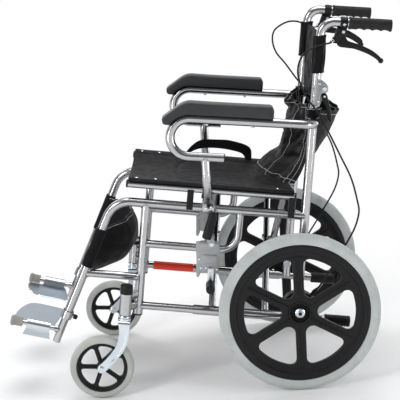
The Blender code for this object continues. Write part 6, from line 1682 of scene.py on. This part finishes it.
def seat_middle(u, v):
    """The seat cloth's middle surface, from the left edge and from the front."""
    y = -SEAT_EDGE + 2 * SEAT_EDGE * u
    s = SEAT_CUT_S + SEAT_CUT * v
    return rail_point(s, seat_height(s, y), y)


def on_seat(thing):
    """Bake the piece's place into its mesh."""
    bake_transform(thing)


seat = piece("seat_sling", draped(seat_middle, 102, 92, 0.0030), cloth, None,
             ["seat_sling_left", "seat_sling_right"], crease=60)
on_seat(seat)
seam_s = [-0.472 + 0.404 * k / 60 for k in range(61)]
seat_lines = [[rail_point(s, seat_height(s, y) + 0.0020, y) for s in seam_s]
              for y in (-0.1655, 0.1655)]
dark_thread = Finish("black_thread", base_color=(0.02, 0.02, 0.022), roughness=0.5)
dark_thread.set("Base Color", dark_thread.blend(dark_thread.noise(400.0, 2.0),
                                                (0.015, 0.015, 0.016), (0.035, 0.035, 0.037)))
stitching("seat_hem_stitches", seat_lines, None, on_seat, dark_thread)
studs = bmesh.new()
for s in (-0.455, -0.408, -0.105):
    for y in (-0.176, 0.176):
        turned(studs, [(0, -0.0005), (0.0040, -0.0005), (0.0040, 0.0006), (0.0030, 0.0014),
                       (0, 0.0016)], rail_point(s, seat_height(s, y) + 0.0015, y), SQUARE, 18)
snaps = piece("seat_studs", studs, zinc, None)
on_seat(snaps)


def chain_point(knots, v):
    """A point on a smooth chain of (x, height) knots."""
    place = v * (len(knots) - 1)
    k = min(int(place), len(knots) - 2)
    t = place - k
    a, b = Vector(knots[max(k - 1, 0)]), Vector(knots[k])
    c, d = Vector(knots[k + 1]), Vector(knots[min(k + 2, len(knots) - 1)])
    if k == 0:
        a = b * 2 - c
    if k + 2 > len(knots) - 1:
        d = c * 2 - b
    return smooth_between(a, b, c, d, t)


STRAP_Y = 0.174
strap_top = [(-0.3410, 0.0130), (-0.3220, 0.0400), (-0.2968, 0.0585), (-0.2560, 0.0630),
             (-0.2149, 0.0632), (-0.1640, 0.0490), (-0.1547, 0.0130)]
strap_under = [(-0.3340, 0.0130), (-0.3170, 0.0262), (-0.2948, 0.0350), (-0.2622, 0.0392),
               (-0.2265, 0.0384), (-0.1855, 0.0310), (-0.1700, 0.0130)]


def strap_middle(u, v):
    """The lifting strap's middle surface, an upright loop over the seat."""
    edge = chain_point(strap_under, v) * (1 - u) + chain_point(strap_top, v) * u
    return rail_point(edge[0], SEAT_H + edge[1], STRAP_Y + 0.0012 * math.sin(7 * v))


strap = piece("lift_strap", draped(strap_middle, 4, 48, 0.0026), cloth, "brace_a", crease=60)


# Back
# The upper back is a sling of the same cloth with a tunnel round each post. The loose lower
# back hangs from webbing loops on the uprights and lies on the seat, with a pocket behind it.

SLING_LOW, SLING_HIGH, SLING_REACH = 0.779, 0.869, 0.1775


def sleeve(steps, rows, front, centre_at, radius_at):
    """A cloth tunnel round a tube; its radius comes from the angle and the share of its length."""
    outer, inner = [], []
    for k in range(steps + 1):
        angle = 2 * math.pi * k / steps
        way = front * math.cos(angle) + Y_AXIS * math.sin(angle)
        shares = [j / rows for j in range(rows + 1)]
        outer.append([centre_at(t) + way * radius_at(angle, t) for t in shares])
        inner.append([centre_at(t) + way * (TUBE_R + 0.0004) for t in shares])
    shape = bmesh.new()
    slab(shape, outer, inner)
    return shape


def folded_sleeve(y, low, high, radius, gather):
    """A tunnel on a back post, with soft lengthwise folds."""
    def centre_at(t):
        return upright_point(low + (high - low) * t, y)

    def radius_at(angle, t):
        fold = wrinkle(math.cos(angle) * 0.02, math.sin(angle) * 0.02, t * 0.012, 0.009, y)
        flare = 0.0010 * (smoothstep(0.08, 0.0, t) + smoothstep(0.92, 1.0, t))
        return radius + gather * fold - gather + flare
    return sleeve(60, 24, X_AXIS, centre_at, radius_at)


for side, sign in SIDES:
    tunnel = folded_sleeve(sign * FRAME_HALF, SLING_LOW, SLING_HIGH, 0.0184, 0.0034)
    piece("back_tunnel_" + side, tunnel, cloth, side + "_back", ["back_sling"], crease=70)


def narrows(thing):
    """Give the piece its own copy of its mesh."""
    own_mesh(thing)


def sling_middle(u, v):
    """The sling's middle surface, from the left post and from the top."""
    y = -SLING_REACH + 2 * SLING_REACH * u
    inside = 1 - (y / SLING_REACH) ** 2
    top = SLING_HIGH - 0.003 - 0.010 * inside
    low = SLING_LOW + 0.004 - 0.093 * smoothstep(0.0, 0.30, inside)
    z = top + (low - top) * v
    bow = 0.016 * inside + 0.004 * wrinkle(y * 2.2, z, 0, 0.045, 3.0) * min(1.0, inside * 2.5)
    bow += 0.0018 * wrinkle(y, z * 1.7, 0, 0.016, 5.0) * min(1.0, inside * 2.5)
    return upright_point(z, y) + X_AXIS * bow


sling = piece("back_sling_cloth", draped(sling_middle, 90, 36, 0.0032), cloth, "left_back",
              ["back_sling"], crease=60)
narrows(sling)


def hung(centre, side, reach, fold, crush, seed, swell=2.4):
    """A slack sheet whose upright profile runs from a centre shape to a side shape."""
    def middle(u, v):
        y = -reach + 2 * reach * u
        inside = 1 - abs(y / reach) ** swell
        mid, end = chain_point(centre, v), chain_point(side, v)
        flat = end + (mid - end) * inside
        loose = min(1.0, inside * 2.6)
        wave = fold * math.sin(4 * math.pi * u) * math.sin(math.pi * v)
        wave += crush * wrinkle(y * 1.2, flat[1] * 0.8, v * 0.1, 0.052, seed) * loose
        wave += crush * 0.5 * wrinkle(y, flat[1] * 1.4, 0, 0.022, seed + 4) * loose
        return Vector((AXLE_X + flat[0] + wave, y, flat[1] + wave * 0.35))
    return middle


panel_centre = [(0.006, 0.692), (0.015, 0.668), (0.001, 0.632), (-0.008, 0.592), (-0.026, 0.560),
                (-0.058, 0.5465), (-0.089, 0.5165)]
panel_side = [(0.0555, 0.700), (0.0520, 0.668), (0.0480, 0.635), (0.0425, 0.600), (0.0340, 0.560),
              (0.0200, 0.528), (0.0040, 0.5050)]
PANEL_REACH = FRAME_HALF - TUBE_R - 0.0012
panel_middle = hung(panel_centre, panel_side, PANEL_REACH, 0.007, 0.012, 11.0, 1.5)
panel = piece("back_panel_cloth", draped(panel_middle, 110, 70, 0.0026), cloth, "left_frame",
              ["back_panel"], crease=60)
narrows(panel)


def over(middle, u, v, gap):
    """A point just off a sheet's front face."""
    point = Vector(middle(u, v))
    across = Vector(middle(min(1, u + 0.01), v)) - Vector(middle(max(0, u - 0.01), v))
    along = Vector(middle(u, min(1, v + 0.01))) - Vector(middle(u, max(0, v - 0.01)))
    return point + across.cross(along).normalized() * gap


panel_lines = []
for gap in (-0.0015, 0.0015):
    for v in (0.045, 0.955):
        panel_lines.append([over(panel_middle, k / 90, v, gap) for k in range(91)])
    for u in (0.035, 0.075, 0.28, 0.72, 0.925, 0.965):
        panel_lines.append([over(panel_middle, u, k / 60, gap) for k in range(61)])
stitching("back_panel_stitches", panel_lines, "left_frame", narrows)

for side, sign in SIDES:
    webbing = folded_sleeve(sign * FRAME_HALF, 0.6680, 0.6950, TUBE_R + 0.0060, 0.0008)
    piece("back_loop_" + side, webbing, cloth, side + "_frame", ["back_panel"], crease=70)
    round_post = [X_AXIS * math.cos(a) + Y_AXIS * math.sin(a)
                  for a in (math.radians(12 * k) for k in range(31))]
    arcs = [[upright_point(z, sign * FRAME_HALF) + way * (TUBE_R + 0.0066) for way in round_post]
            for z in (0.6925, 0.6705)]
    stitching("back_loop_stitches_" + side, arcs, side + "_frame")

pocket_centre = [(0.138, 0.664), (0.122, 0.630), (0.105, 0.602), (0.085, 0.577), (0.070, 0.566)]
pocket_side = [(upright_point(z).x - AXLE_X + behind, z)
               for z, behind in ((0.686, 0.0155), (0.655, 0.0110), (0.622, 0.0065),
                                 (0.595, 0.0065), (0.572, 0.0065))]
pocket_middle = hung(pocket_centre, pocket_side, PANEL_REACH, 0.004, 0.004, 21.0)
pocket = piece("back_pocket_cloth", draped(pocket_middle, 80, 40, 0.0024), cloth, "left_frame",
               ["back_pocket"], crease=60)
narrows(pocket)
pocket_lines = [[over(pocket_middle, k / 90, 0.07, gap) for k in range(91)]
                for gap in (-0.0014, 0.0014)]
stitching("back_pocket_stitches", pocket_lines, "left_frame", narrows)


# Calf strap
# A wide band of the same cloth, slung between a sewn loop on each leg tube. It holds the
# lower legs off the casters.

LEG_LOOP = (0.078, 0.181)
CALF_REACH = FRAME_HALF - TUBE_R - 0.001


def calf_middle(u, v):
    """The band's middle surface, from the left leg tube and from the top."""
    y = -CALF_REACH + 2 * CALF_REACH * u
    inside = 1 - abs(y / CALF_REACH) ** 2.2
    along_end = LEG_LOOP[0] + 0.004 + (LEG_LOOP[1] - LEG_LOOP[0] - 0.008) * v
    along_mid = 0.050 + 0.180 * v
    sag = 0.058 + 0.200 * v - 0.241 * v * v
    point = LEG_CORNER + LEG * (along_end + (along_mid - along_end) * inside)
    point = point + LEG_FRONT * (sag * inside)
    crease = 0.0040 * wrinkle(y, v * 0.16, 0, 0.040, 31.0) * min(1.0, inside * 2.5)
    crease += 0.0025 * math.sin(26 * v + 9 * u) * inside * (1 - inside * 0.6)
    return Vector((point.x, y, point.z)) + LEG_FRONT * crease


calf = piece("calf_strap_cloth", draped(calf_middle, 100, 60, 0.0028), cloth, "left_frame",
             ["calf_strap"], crease=60)
narrows(calf)


def calf_sleeve(sign):
    """A loop of the band, sewn round a leg tube."""
    def centre_at(t):
        point = LEG_CORNER + LEG * (LEG_LOOP[0] + (LEG_LOOP[1] - LEG_LOOP[0]) * t)
        return Vector((point.x, sign * FRAME_HALF, point.z))

    def radius_at(angle, t):
        fold = wrinkle(math.cos(angle) * 0.02, math.sin(angle) * 0.02, t * 0.03, 0.010, 2 + sign)
        return TUBE_R + 0.0024 + 0.0010 * fold
    return sleeve(48, 29, LEG_FRONT, centre_at, radius_at)


for side, sign in SIDES:
    piece("calf_loop_" + side, calf_sleeve(sign), cloth, side + "_frame", ["calf_strap"],
          crease=70)
calf_lines = [[over(calf_middle, k / 90, v, gap) for k in range(91)]
              for gap in (-0.0017, 0.0017) for v in (0.03, 0.97)]
stitching("calf_strap_stitches", calf_lines, "left_frame", narrows)


# Size and finish
# The finished chair's bounds are measured.

bpy.context.view_layer.update()
low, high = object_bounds()
